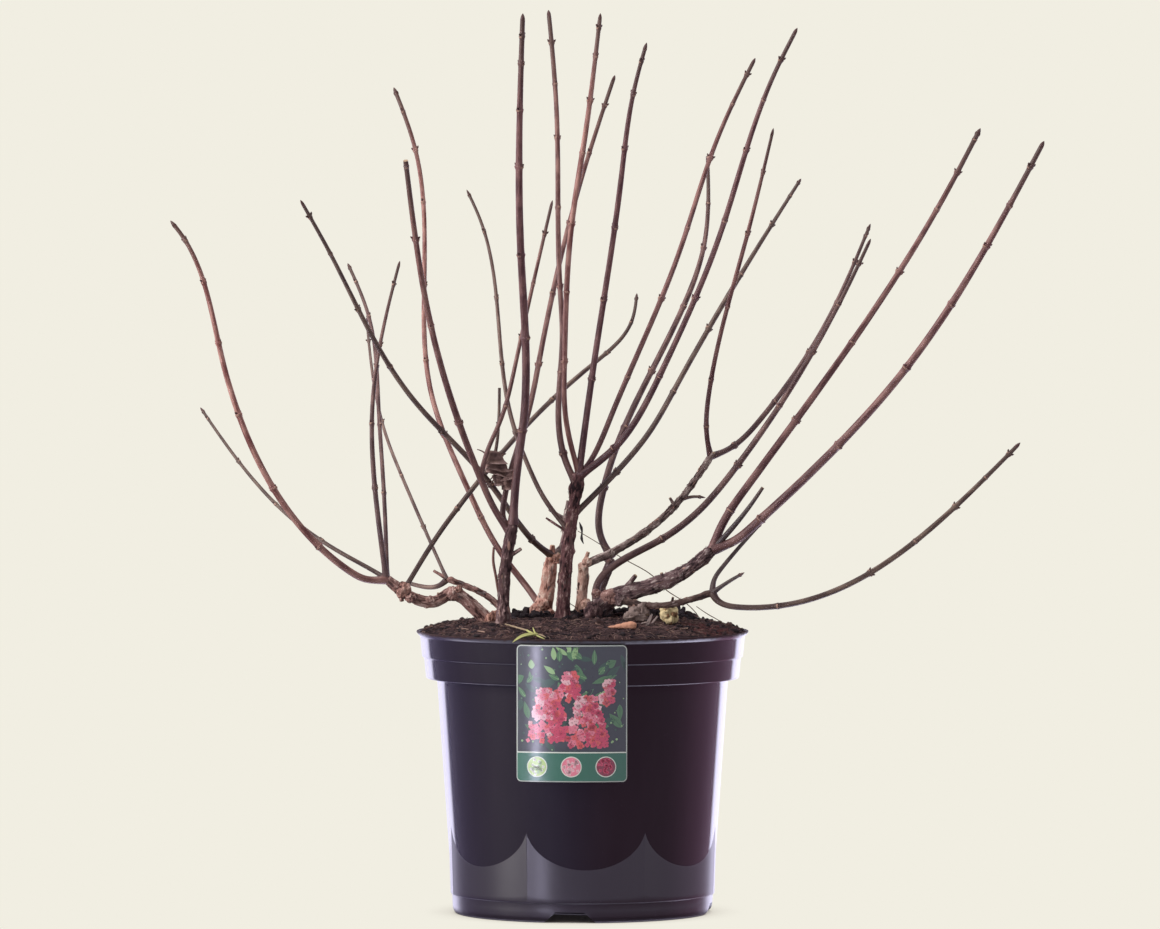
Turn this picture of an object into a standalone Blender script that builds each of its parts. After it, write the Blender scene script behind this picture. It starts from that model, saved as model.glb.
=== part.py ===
"""A bare hydrangea shrub, leafless as in winter, standing in its round nursery pot.

The frame is the pot's own: Z is up, the origin is the middle of the flat underside, and the
side that carries the label faces -Y.  Old wood rises from the soil in a few stems and boughs,
and last summer's canes grow on from them.  Lengths are in metres, or in millimetres where a
name or a comment says so.
"""

import math
from typing import NamedTuple

import bmesh
import bpy
import numpy as np
from mathutils import Vector
from mathutils.bvhtree import BVHTree

MM = 0.001
CLEARANCE = 0.3          # mm, the gap that pieces keep where they meet

# --- Pot, in millimetres ------------------------------------------------------------------
POT_HEIGHT = 237.0
LIP_RADIUS = 139.8       # flared lip at the very top
LIP_FOOT_Z = 232.8       # the lip flares from here up
COLLAR_TOP_Z = 232.0
COLLAR_RADIUS = 136.5    # first band, just under the lip
COLLAR_DRAFT = 0.095     # how fast both bands narrow downwards
COLLAR_STEP_Z = 214.0    # ledge between the two bands
COLLAR_STEP = 1.6
COLLAR_FOOT_Z = 196.0    # ledge where the bands end and the wall begins
WALL_TOP_RADIUS = 122.4
WALL_FOOT_RADIUS = 109.8
WALL_THICKNESS = 1.8
FOOT_RING_Z = 16.0       # top of the foot ring
FOOT_RING_WIDTH = 8.0
FLOOR_THICKNESS = 2.0
CHANNEL_HEIGHT = 9.0     # drainage channel under the floor
CENTRE_PAD_RADIUS = 38.0
POT_SEGMENTS = 56

SCALLOPS = 7             # panels of the skirt around the foot of the wall
SCALLOP_TURN = 1.5       # degrees, middle of the front panel
SKIRT_DRAFT = 0.030      # the skirt is steeper than the wall that it grows out of
SKIRT_TOP_Z = 82.0
SKIRT_RADIUS = 110.9     # at the foot ring, in the middle of a panel
SKIRT_RIDGE = 1.2        # further out between two panels
SKIRT_ARC = 0.98         # share of a half circle that a panel's edge follows

ARCHES = 4               # drain arches through the foot ring
ARCH_TURN = -5.7
ARCH_TOP_WIDTH = 24.0
ARCH_FOOT_WIDTH = 40.0
ARCH_HEIGHT = 8.6
DRAIN_HOLES = 8
DRAIN_HOLE_RADIUS = 5.0
DRAIN_HOLE_CIRCLE = 72.0
DRAIN_HOLE_SIDES = 10

# --- Soil, in millimetres -----------------------------------------------------------------
SOIL_EDGE_Z = 236.9
SOIL_RISE = 10.6         # heaped up around the stems
SOIL_SHOULDER = 4        # the higher, the flatter the heap and the steeper its edge
SOIL_SEGMENTS = 32
SOIL_RINGS = (0.0, 0.3, 0.5, 0.7, 0.85, 1.0)    # shares of the way out to the edge

# --- Label, in millimetres ----------------------------------------------------------------
LABEL_WIDTH = 93.0
LABEL_HEIGHT = 113.0
LABEL_TOP_Z = 232.0
LABEL_THICKNESS = 0.6
LABEL_CORNER = 4.0
LABEL_RADIUS = 137.1     # bent round the first band
LABEL_TURN = -3.9        # degrees from the front
LABEL_COLUMNS = 10

# --- Dead leaf caught among the canes, in millimetres ----------------------------------------
LEAF_CENTRE = (-70.0, -52.0, 371.0)
LEAF_HALF = (12.0, 8.0, 14.5)
LEAF_LEAN = 24.0         # degrees
LEAF_CREASES = 5
LEAF_CREASE_DEPTH = 0.10
LEAF_NARROWING = 0.35    # narrower at the top than at the foot

# --- Wood, in millimetres -----------------------------------------------------------------
FULL_INTERNODE = 70.0    # joints low on a cane
INTERNODE_GROWTH = 0.70
NODE_SWELLING = 1.22
NODE_LENGTH = 4.0
BUD_LENGTH = 9.0
BUD_SHAPE = {1.0: 0.95, 0.65: 1.25, 0.25: 0.8, 0.0: 0.22}    # share of its length to go: thickness
PATH_STEP = 2.0
LONGEST_SPAN = 34.0      # a cane has a ring at least this often
WOOD_SPAN = 11.0         # and a stem or a bough this often
FOOT_FLARE = 0.25        # thicker where a stem leaves the soil
KNUCKLE = 1.16           # swelling where the young canes spring
STUB_TAPER = {0.0: 1.1, 0.6: 0.9, 1.0: 0.8}    # share of its length: thickness
WOOD_SIDES = 8
CANE_SIDES = 6


class Limb(NamedTuple):
    """One tapering limb: what carries it, its thick and thin ends, and where it passes."""

    name: str
    on: str              # the limb that carries it, or "soil"
    at: float            # how far along that limb it leaves, from 0 to 1
    thick: tuple         # mm across at its foot and at its tip
    through: list        # mm, the places it passes, the last one being its tip


class Stub(NamedTuple):
    """A short dead spur, fused to the limb that carries it."""

    on: str
    at: float
    reach: tuple         # mm
    thick: float


STEMS = [
    Limb("stem_front", "soil", 0, (10.9, 8.4), [(-66, -50, 239), (-65, -54, 286), (-58, -58, 329)]),
    Limb("stem_tan", "soil", 0, (17.0, 8.4), [(-38, 2, 240), (-29, 1, 275), (-26, 0, 300)]),
    Limb("stem_middle", "soil", 0, (11.5, 9.3), [(-17, -20, 240), (-15, -22, 279), (-3, -26, 370)]),
    Limb("stem_back", "soil", 0, (8.4, 6.7), [(6, 32, 240), (17, 35, 274), (25, 38, 296)]),
    Limb("stem_pale", "soil", 0, (9.3, 7.6), [(-3, 9, 240), (0, 6, 274), (1, 4, 294)]),
    Limb("stem_right", "soil", 0, (17.0, 9.3), [(9, -20, 239), (16, -25, 258), (52, -36, 274),
                                                (93, -52, 294), (109, -60, 308)]),
    Limb("stem_left", "soil", 0, (12.6, 7.6), [(-72, -30, 238), (-96, -36, 263), (-111, -39, 270),
                                               (-119, -41, 265), (-144, -45, 268), (-164, -50, 283)]),
    Limb("stem_left_thin", "soil", 0, (5.9, 4.2), [(-60, -9, 239), (-69, -8, 256), (-114, -4, 280)]),
]

BOUGHS = [
    Limb("bough_middle", "stem_tan", 1.0, (6.7, 5.0), [(-19, 5, 304), (-14, 13, 321), (-13, 20, 338)]),
    Limb("bough_pale", "stem_pale", 0.97, (6.7, 5.0), [(22, 6, 301), (48, 8, 316), (80, 11, 344),
                                                       (108, 14, 383)]),
    Limb("bough_low", "stem_right", 0.25, (5.6, 5.0), [(64, -62, 261), (108, -86, 273)]),
]

CANES = [
    Limb("front_cane_1", "stem_front", 1.0, (7.6, 3.4), [(-55, -64, 369), (-49, -71, 416),
                                                         (-51, -102, 554), (-49, -150, 752)]),
    Limb("front_cane_2", "stem_front", 0.9, (5.9, 3.4), [(-72, -59, 339), (-85, -64, 367),
                                                         (-127, -141, 506), (-144, -210, 631)]),
    Limb("front_cane_3", "stem_front", 0.94, (4.6, 2.5), [(-66, -53, 333), (-66, -51, 345),
                                                          (-46, -28, 419), (-37, 2, 461),
                                                          (6, 135, 640), (28, 170, 707)]),
    Limb("front_cane_4", "front_cane_2", 0.15, (3.4, 2.5), [(-80, -59, 388), (-69, -55, 414),
                                                            (-56, -53, 462), (-25, -60, 599)]),
    Limb("left_cane_1", "stem_left", 0.99, (6.7, 2.9), [(-182, -54, 283), (-195, -58, 290),
                                                        (-300, -72, 468), (-335, -67, 572),
                                                        (-343, -66, 582)]),
    Limb("left_cane_2", "stem_left", 0.99, (4.2, 2.2), [(-171, -45, 287), (-195, -38, 300),
                                                        (-237, -16, 326), (-325, 70, 423)]),
    Limb("left_cane_3", "stem_left", 1.0, (4.6, 2.5), [(-168, -52, 313), (-176, -31, 425),
                                                       (-154, 20, 548)]),
    Limb("left_cane_4", "stem_left", 0.99, (4.6, 2.5), [(-167, -5, 353), (-173, 52, 425),
                                                        (-182, 109, 497), (-202, 150, 545)]),
    Limb("left_cane_5", "stem_left_thin", 1.0, (3.4, 2.0), [(-155, 76, 367), (-169, 117, 400),
                                                            (-188, 230, 497)]),
    Limb("left_cane_6", "stem_left", 0.84, (5.9, 2.5), [(-115, -16, 327), (-99, -5, 348),
                                                        (8, 118, 458), (42, 152, 494), (47, 170, 519)]),
    Limb("left_twig", "stem_left_thin", 1.0, (3.4, 2.5), [(-120, 3, 275), (-145, 26, 275)]),
    Limb("crossing_cane", "stem_tan", 1.0, (5.9, 2.5), [(-42, -21, 314), (-78, -40, 363),
                                                        (-136, -64, 427), (-208, -143, 556),
                                                        (-231, -170, 599)]),
    Limb("crossing_stub", "left_cane_6", 0.37, (3.0, 2.5), [(-73, 13, 389), (-70, 10, 441)]),
    Limb("rear_left_cane", "stem_tan", 0.22, (6.3, 2.9), [(-38, 8, 260), (-66, 25, 297),
                                                          (-99, 39, 359), (-130, 75, 441),
                                                          (-135, 95, 526), (-143, 124, 642),
                                                          (-162, 140, 696)]),
    Limb("middle_cane_1", "stem_middle", 0.98, (6.7, 3.4), [(10, -40, 465), (32, -80, 616),
                                                            (42, -98, 687), (53, -110, 729)]),
    Limb("middle_cane_2", "stem_middle", 0.92, (5.9, 3.4), [(-14, -23, 380), (-17, 1, 481),
                                                            (-19, 15, 527), (-22, 63, 675),
                                                            (-29, 90, 761)]),
    Limb("middle_cane_3", "stem_middle", 1.0, (5.0, 3.0), [(-14, -38, 417), (-15, -44, 465),
                                                           (-9, -42, 579), (1, -42, 645),
                                                           (15, -40, 755)]),
    Limb("middle_cane_4", "stem_middle", 0.98, (6.7, 3.4), [(28, -37, 393), (64, -56, 452),
                                                            (113, -98, 568), (156, -145, 699),
                                                            (176, -160, 740)]),
    Limb("middle_cane_5", "stem_middle", 0.98, (5.0, 2.5), [(3, -23, 375), (22, -17, 413),
                                                            (82, 27, 556), (114, 57, 650),
                                                            (147, 80, 720)]),
    Limb("middle_cane_6", "stem_middle", 0.72, (4.6, 2.5), [(16, -16, 358), (53, 9, 399),
                                                            (77, 47, 437), (119, 115, 508),
                                                            (190, 220, 618)]),
    Limb("middle_cane_7", "stem_middle", 0.62, (4.2, 2.5), [(-34, -18, 352), (-42, -16, 368),
                                                            (-60, -8, 417), (-87, 34, 584),
                                                            (-98, 40, 608)]),
    Limb("back_cane", "stem_back", 1.0, (5.9, 3.4), [(15, 41, 316), (17, 43, 351), (38, 79, 411),
                                                     (87, 152, 508), (105, 188, 559),
                                                     (109, 240, 637)]),
    Limb("right_cane_1", "bough_pale", 1.0, (5.0, 2.5), [(105, 10, 399), (107, 4, 440),
                                                         (138, -38, 571), (159, -60, 659)]),
    Limb("right_cane_2", "bough_pale", 1.0, (5.0, 2.5), [(121, 17, 388), (152, 26, 416),
                                                         (216, 87, 511), (247, 130, 579)]),
    Limb("right_cane_3", "stem_right", 0.12, (6.7, 2.9), [(11, -22, 269), (66, -10, 314),
                                                          (126, -13, 371), (222, -74, 530),
                                                          (239, -90, 567)]),
    Limb("right_cane_4", "stem_right", 1.0, (6.7, 3.4), [(111, -59, 315), (138, -54, 361),
                                                         (306, 30, 603), (337, 50, 660)]),
    Limb("right_cane_5", "stem_right", 1.0, (7.6, 3.4), [(128, -66, 316), (139, -70, 325),
                                                         (268, -129, 462), (376, -200, 647)]),
    Limb("right_twig", "stem_right", 1.0, (3.8, 2.5), [(139, -72, 344), (150, -76, 360)]),
    Limb("low_cane_1", "bough_low", 1.0, (3.8, 2.5), [(109, -80, 282), (116, -72, 293),
                                                      (151, -44, 331)]),
    Limb("low_cane_2", "bough_low", 1.0, (3.4, 2.2), [(120, -98, 282), (134, -112, 291)]),
    Limb("low_cane_3", "bough_low", 1.0, (5.0, 2.5), [(110, -87, 269), (133, -92, 261),
                                                      (297, -85, 333), (365, -60, 397)]),
    Limb("pale_twig", "bough_pale", 0.69, (2.9, 2.2), [(95, 18, 349), (104, 22, 348)]),
]

STUBS = [
    Stub("stem_front", 0.72, (11, -3, 8), 3.6),
    Stub("stem_left", 0.80, (-3, -2, -11), 5.0),
    Stub("stem_left_thin", 0.96, (-12, 6, 7), 3.0),
    Stub("stem_tan", 0.98, (1, -2, 10), 5.5),
    Stub("stem_pale", 0.96, (4, -2, 11), 4.0),
    Stub("stem_right", 0.30, (15, -10, 10), 4.6),
    Stub("bough_middle", 0.80, (-15, 2, 9), 3.4),
    Stub("bough_pale", 0.97, (5, -5, 7), 3.6),
]


# --- Tools ----------------------------------------------------------------------------------

def new_collection(name):
    """A collection of the scene."""
    collection = bpy.data.collections.new(name)
    bpy.context.scene.collection.children.link(collection)
    return collection


def new_material(name, colour, roughness, metallic=0.0):
    """A Principled material of one colour."""
    material = bpy.data.materials.new(name)
    material.use_nodes = True
    shader = material.node_tree.nodes["Principled BSDF"]
    shader.inputs["Base Color"].default_value = (*colour, 1.0)
    shader.inputs["Roughness"].default_value = roughness
    shader.inputs["Metallic"].default_value = metallic
    material.diffuse_color = (*colour, 1.0)
    return material


def add_object(name, data, collection, material=None):
    """An object that holds the data, in the collection."""
    made = bpy.data.objects.new(name, data)
    collection.objects.link(made)
    if material is not None:
        data.materials.append(material)
    return made


def settled_mesh(piece):
    """The piece's mesh with its modifiers worked in."""
    bpy.context.view_layer.update()
    evaluated = piece.evaluated_get(bpy.context.evaluated_depsgraph_get())
    return bpy.data.meshes.new_from_object(evaluated)


def settle(piece):
    """Work the piece's modifiers into its own mesh."""
    materials = list(piece.data.materials)
    piece.data = settled_mesh(piece)
    piece.data.materials.clear()
    for material in materials:
        piece.data.materials.append(material)
    piece.modifiers.clear()


def combine(piece, other, operation):
    """Boolean the other object into the piece, and remove the other object."""
    modifier = piece.modifiers.new(operation.lower(), "BOOLEAN")
    modifier.operation = operation
    modifier.solver = "EXACT"
    modifier.object = other
    settle(piece)
    bpy.data.objects.remove(other)


def heal(mesh):
    """Merge points that coincide, and face the mesh outwards."""
    shape = bmesh.new()
    shape.from_mesh(mesh)
    bmesh.ops.remove_doubles(shape, verts=shape.verts, dist=1e-6)
    bmesh.ops.recalc_face_normals(shape, faces=shape.faces)
    shape.to_mesh(mesh)
    shape.free()


def turned(name, profile, segments, collection, material=None):
    """A solid turned about Z; the profile (radius, height in mm) ends on the axis both times
    and runs down its outer side."""
    mesh = bpy.data.meshes.new(name)
    points = [(radius * MM, 0.0, height * MM) for radius, height in profile]
    mesh.from_pydata(points, [(i, i + 1) for i in range(len(points) - 1)], [])
    piece = add_object(name, mesh, collection, material)
    screw = piece.modifiers.new("turn", "SCREW")
    screw.steps = segments
    screw.render_steps = segments
    screw.use_merge_vertices = True
    screw.merge_threshold = 0.00005
    settle(piece)
    heal(piece.data)
    return piece


def shade(piece, degrees=35.0):
    """Smooth shading with creases kept."""
    piece.data.shade_smooth()
    piece.data.set_sharp_from_angle(angle=math.radians(degrees))


def keep_largest_body(mesh):
    """Drop any loose scrap that a cut has left."""
    shape = bmesh.new()
    shape.from_mesh(mesh)
    waiting = set(shape.verts)
    bodies = []
    while waiting:
        body = set()
        front = [waiting.pop()]
        while front:
            vertex = front.pop()
            body.add(vertex)
            for edge in vertex.link_edges:
                neighbour = edge.other_vert(vertex)
                if neighbour in waiting:
                    waiting.discard(neighbour)
                    front.append(neighbour)
        bodies.append(body)
    bodies.sort(key=len, reverse=True)
    for body in bodies[1:]:
        bmesh.ops.delete(shape, geom=list(body), context="VERTS")
    shape.to_mesh(mesh)
    shape.free()


# --- Pot ------------------------------------------------------------------------------------

def collar_radius(height):
    """Outer radius of the two bands under the lip."""
    radius = COLLAR_RADIUS - COLLAR_DRAFT * (COLLAR_TOP_Z - height)
    if height < COLLAR_STEP_Z:
        radius -= COLLAR_STEP
    return radius


def wall_radius(height):
    """Outer radius of the tapering wall."""
    share = (height - FOOT_RING_Z) / (COLLAR_FOOT_Z - FOOT_RING_Z)
    return WALL_FOOT_RADIUS + share * (WALL_TOP_RADIUS - WALL_FOOT_RADIUS)


def pot_outside():
    """The pot's outer profile, from the middle of its mouth down to the middle of its foot."""
    step_above = COLLAR_STEP_Z + 0.4
    step_below = COLLAR_STEP_Z - 0.6
    return [
        (0.0, POT_HEIGHT),
        (LIP_RADIUS - 0.6, POT_HEIGHT),
        (LIP_RADIUS, POT_HEIGHT - 0.8),
        (COLLAR_RADIUS + 0.3, LIP_FOOT_Z),
        (COLLAR_RADIUS, COLLAR_TOP_Z),
        (collar_radius(step_above), step_above),
        (collar_radius(step_below), step_below),
        (collar_radius(COLLAR_FOOT_Z) + 0.1, COLLAR_FOOT_Z + 0.8),
        (collar_radius(COLLAR_FOOT_Z) - 0.7, COLLAR_FOOT_Z),
        (wall_radius(COLLAR_FOOT_Z) + 0.4, COLLAR_FOOT_Z - 0.3),
        (wall_radius(COLLAR_FOOT_Z - 2.0), COLLAR_FOOT_Z - 2.0),
        (wall_radius(FOOT_RING_Z), FOOT_RING_Z),
        (WALL_FOOT_RADIUS - 0.5, 4.5),
        (WALL_FOOT_RADIUS - 1.4, 1.4),
        (WALL_FOOT_RADIUS - 3.2, 0.0),
        (0.0, 0.0),
    ]


def pot_inside(gap=0.0, mouth=POT_HEIGHT + 5.0):
    """The profile of the pot's hollow, or of what fills it a gap clear of the pot."""
    inset = WALL_THICKNESS + gap
    floor = CHANNEL_HEIGHT + FLOOR_THICKNESS + gap
    lip_inside = COLLAR_RADIUS - inset
    return [
        (0.0, mouth),
        (lip_inside, mouth),
        (lip_inside, COLLAR_TOP_Z),
        (collar_radius(COLLAR_FOOT_Z) - inset - 0.7, COLLAR_FOOT_Z + WALL_THICKNESS + gap),
        (wall_radius(COLLAR_FOOT_Z) - inset, COLLAR_FOOT_Z + WALL_THICKNESS - 1.0 + gap),
        (wall_radius(floor) - inset, floor + 3.0),
        (wall_radius(floor) - inset - 3.0, floor),
        (0.0, floor),
    ]


def skirt(collection):
    """The steep scalloped skirt: a cone whose radius swells between the panels."""
    bpy.ops.mesh.primitive_cone_add(
        vertices=POT_SEGMENTS,
        radius1=1.0,
        radius2=1.0,
        depth=(SKIRT_TOP_Z - FOOT_RING_Z) * MM,
        location=(0.0, 0.0, 0.0),
    )
    piece = bpy.context.object
    for holder in list(piece.users_collection):
        holder.objects.unlink(piece)
    collection.objects.link(piece)
    middle = 0.5 * (SKIRT_TOP_Z + FOOT_RING_Z)
    full_swell = 1.0 - math.sqrt(1.0 - SKIRT_ARC ** 2)
    for vertex in piece.data.vertices:
        height = middle + vertex.co.z / MM
        angle = math.atan2(vertex.co.x, -vertex.co.y)
        panel = (math.degrees(angle) - SCALLOP_TURN) / (360.0 / SCALLOPS)
        across = 2.0 * abs(panel - round(panel))
        swell = (1.0 - math.sqrt(1.0 - (SKIRT_ARC * across) ** 2)) / full_swell
        radius = SKIRT_RADIUS + SKIRT_DRAFT * (height - FOOT_RING_Z) + SKIRT_RIDGE * swell
        vertex.co = (radius * MM * math.sin(angle), -radius * MM * math.cos(angle), height * MM)
    return piece


def cutter_box(width_top, width_foot, height, depth, turn, reach, collection):
    """A wedge-shaped cutter that lies radially through the foot ring."""
    bpy.ops.mesh.primitive_cube_add(size=1.0)
    piece = bpy.context.object
    for holder in list(piece.users_collection):
        holder.objects.unlink(piece)
    collection.objects.link(piece)
    angle = math.radians(turn)
    outward = Vector((math.sin(angle), -math.cos(angle), 0.0))
    sideways = Vector((math.cos(angle), math.sin(angle), 0.0))
    for vertex in piece.data.vertices:
        at_top = vertex.co.z > 0.0
        width = width_top if at_top else width_foot * (height + 1.0) / height
        place = outward * (reach + vertex.co.y * depth) + sideways * (vertex.co.x * width)
        place.z = height if at_top else -1.0
        vertex.co = place * MM
    heal(piece.data)
    return piece


def build_pot(collection, scratch, material):
    """The moulded pot, with its collar, skirt, drain arches and holes."""
    pot = turned("pot", pot_outside(), POT_SEGMENTS, collection, material)
    combine(pot, skirt(scratch), "UNION")
    combine(pot, turned("hollow", pot_inside(), POT_SEGMENTS, scratch), "DIFFERENCE")
    channel_outside = WALL_FOOT_RADIUS - FOOT_RING_WIDTH
    channel = turned("channel", [
        (CENTRE_PAD_RADIUS, CHANNEL_HEIGHT - 1.0),
        (channel_outside, CHANNEL_HEIGHT - 1.0),
        (channel_outside, -1.0),
        (CENTRE_PAD_RADIUS, -1.0),
        (CENTRE_PAD_RADIUS, CHANNEL_HEIGHT - 1.0),
    ], POT_SEGMENTS, scratch)
    combine(pot, channel, "DIFFERENCE")
    for index in range(ARCHES):
        turn = ARCH_TURN + index * 360.0 / ARCHES
        arch = cutter_box(ARCH_TOP_WIDTH, ARCH_FOOT_WIDTH, ARCH_HEIGHT, 3.0 * FOOT_RING_WIDTH,
                          turn, WALL_FOOT_RADIUS, scratch)
        combine(pot, arch, "DIFFERENCE")
    for index in range(DRAIN_HOLES):
        angle = (index + 0.5) * 2.0 * math.pi / DRAIN_HOLES
        bpy.ops.mesh.primitive_cylinder_add(
            vertices=DRAIN_HOLE_SIDES,
            radius=DRAIN_HOLE_RADIUS * MM,
            depth=6.0 * FLOOR_THICKNESS * MM,
            location=(DRAIN_HOLE_CIRCLE * MM * math.cos(angle),
                      DRAIN_HOLE_CIRCLE * MM * math.sin(angle),
                      CHANNEL_HEIGHT * MM),
        )
        combine(pot, bpy.context.object, "DIFFERENCE")
    shade(pot)
    return pot


# --- Soil -----------------------------------------------------------------------------------

def soil_height(radius):
    """Height of the heaped soil at a distance from the pot's axis."""
    edge = COLLAR_RADIUS - WALL_THICKNESS - CLEARANCE
    return SOIL_EDGE_Z + SOIL_RISE * (1.0 - (radius / edge) ** SOIL_SHOULDER)


def build_soil(name, collection, material, lift=0.0):
    """The soil that fills the pot; a lifted copy serves to cut the feet of the stems."""
    hollow = pot_inside(gap=CLEARANCE, mouth=SOIL_EDGE_Z)
    edge = hollow[1][0]
    rings = [(share * edge, soil_height(share * edge) + lift) for share in SOIL_RINGS]
    soil = turned(name, rings + hollow[2:], SOIL_SEGMENTS, collection, material)
    shade(soil)
    return soil


# --- Label ----------------------------------------------------------------------------------

def build_label(collection, material):
    """A card with round corners, bent round the pot's collar."""
    drops = [0.0, 0.3 * LABEL_CORNER, LABEL_CORNER]
    rows = drops + [LABEL_HEIGHT / 2.0] + [LABEL_HEIGHT - drop for drop in reversed(drops)]
    points = []
    for row in rows:
        near_end = min(row, LABEL_HEIGHT - row)
        inset = 0.0
        if near_end < LABEL_CORNER:
            inset = LABEL_CORNER - math.sqrt(LABEL_CORNER ** 2 - (LABEL_CORNER - near_end) ** 2)
        half = LABEL_WIDTH / 2.0 - inset
        for column in range(LABEL_COLUMNS + 1):
            across = half * (2.0 * column / LABEL_COLUMNS - 1.0)
            angle = math.radians(LABEL_TURN) + across / LABEL_RADIUS
            points.append((LABEL_RADIUS * MM * math.sin(angle),
                           -LABEL_RADIUS * MM * math.cos(angle),
                           (LABEL_TOP_Z - row) * MM))
    faces = []
    for row in range(len(rows) - 1):
        for column in range(LABEL_COLUMNS):
            corner = row * (LABEL_COLUMNS + 1) + column
            below = corner + LABEL_COLUMNS + 1
            faces.append((corner, below, below + 1, corner + 1))
    mesh = bpy.data.meshes.new("label")
    mesh.from_pydata(points, [], faces)
    label = add_object("label", mesh, collection, material)
    solidify = label.modifiers.new("card", "SOLIDIFY")
    solidify.thickness = LABEL_THICKNESS * MM
    solidify.offset = 1.0
    settle(label)
    return label


# --- Limbs ----------------------------------------------------------------------------------

def smooth_path(places):
    """Closely spaced points on the natural cubic curve through the places."""
    places = np.array(places, dtype=float)
    spans = np.linalg.norm(np.diff(places, axis=0), axis=1)
    count = len(places)
    system = np.eye(count)
    pull = np.zeros_like(places)
    for i in range(1, count - 1):
        system[i, i - 1:i + 2] = spans[i - 1], 2.0 * (spans[i - 1] + spans[i]), spans[i]
        ahead = (places[i + 1] - places[i]) / spans[i]
        behind = (places[i] - places[i - 1]) / spans[i - 1]
        pull[i] = 6.0 * (ahead - behind)
    bends = np.linalg.solve(system, pull)
    path = []
    for i, span in enumerate(spans):
        for far in np.arange(0.0, span, PATH_STEP) / span:
            near = 1.0 - far
            path.append(near * places[i] + far * places[i + 1] + span ** 2 / 6.0 * (
                (near ** 3 - near) * bends[i] + (far ** 3 - far) * bends[i + 1]))
    path.append(places[-1])
    return np.array(path)


def path_lengths(path):
    """Distance along the path of each of its points."""
    return np.concatenate(([0.0], np.cumsum(np.linalg.norm(np.diff(path, axis=0), axis=1))))


def point_on(path, distance):
    """The place at a distance along the path."""
    lengths = path_lengths(path)
    return np.array([np.interp(distance, lengths, path[:, axis]) for axis in range(3)])


def node_distances(length):
    """Distances from a cane's foot to its nodes, which crowd towards the tip."""
    nodes = []
    place = length
    count = 1
    while True:
        place -= FULL_INTERNODE * (1.0 - INTERNODE_GROWTH ** count)
        if place < NODE_LENGTH * 3.0:
            return sorted(nodes)
        nodes.append(place)
        count += 1


def cane_rings(path, thick):
    """Rings (distance, radius) of a cane: swollen nodes, and a pointed bud at its tip."""
    length = path_lengths(path)[-1]
    shares = {0.0: 1.0}
    for node in node_distances(length):
        shares[node] = NODE_SWELLING
        shares[node + NODE_LENGTH] = 1.0
    for to_go, thickness in BUD_SHAPE.items():
        shares[length - BUD_LENGTH * to_go] = thickness
    distances = sorted(shares)
    for before, after in zip(distances[:-1], distances[1:]):
        extra = int((after - before) // LONGEST_SPAN)
        for i in range(extra):
            shares[before + (after - before) * (i + 1) / (extra + 1)] = 1.0
    return [(d, share * 0.5 * np.interp(d / length, (0.0, 1.0), thick))
            for d, share in sorted(shares.items())]


def wood_rings(path, thick, from_soil):
    """Rings of a stem or bough: a flared foot where it leaves the soil, a knuckle at its end."""
    length = path_lengths(path)[-1]
    count = max(3, int(length // WOOD_SPAN))
    rings = []
    for i in range(count + 1):
        distance = length * i / count
        share = 1.0
        if from_soil and i <= 1:
            share = 1.0 + FOOT_FLARE * 0.5 ** i
        if i == count - 1:
            share = KNUCKLE
        rings.append((distance, share * 0.5 * np.interp(i / count, (0.0, 1.0), thick)))
    return rings


def tube(name, path, rings, sides, collection, swell=0.0):
    """A closed tube along the path with a ring of its own radius at each distance.

    A swollen tube stands off the same limb by the swell all round and at its far end.
    """
    curve = bpy.data.curves.new(name, "CURVE")
    curve.dimensions = "3D"
    curve.bevel_depth = MM
    curve.bevel_resolution = (sides - 4) // 2
    curve.use_fill_caps = True
    spline = curve.splines.new("POLY")
    spline.points.add(len(rings) - 1)
    for point, (distance, radius) in zip(spline.points, rings):
        place = point_on(path, distance)
        point.co = (*(place * MM), 1.0)
        point.radius = radius + swell
    if swell:
        direction = path[-1] - path[-2]
        end = path[-1] + swell * direction / np.linalg.norm(direction)
        spline.points[-1].co = (*(end * MM), 1.0)
    bent = add_object(name + "_curve", curve, collection)
    mesh = settled_mesh(bent)
    bpy.data.objects.remove(bent)
    heal(mesh)
    return add_object(name, mesh, collection)


def touches(piece, other):
    """Whether the two pieces' surfaces cross."""
    trees = []
    for each in (piece, other):
        shape = bmesh.new()
        shape.from_mesh(each.data)
        trees.append(BVHTree.FromBMesh(shape))
        shape.free()
    return bool(trees[0].overlap(trees[1]))


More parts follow.
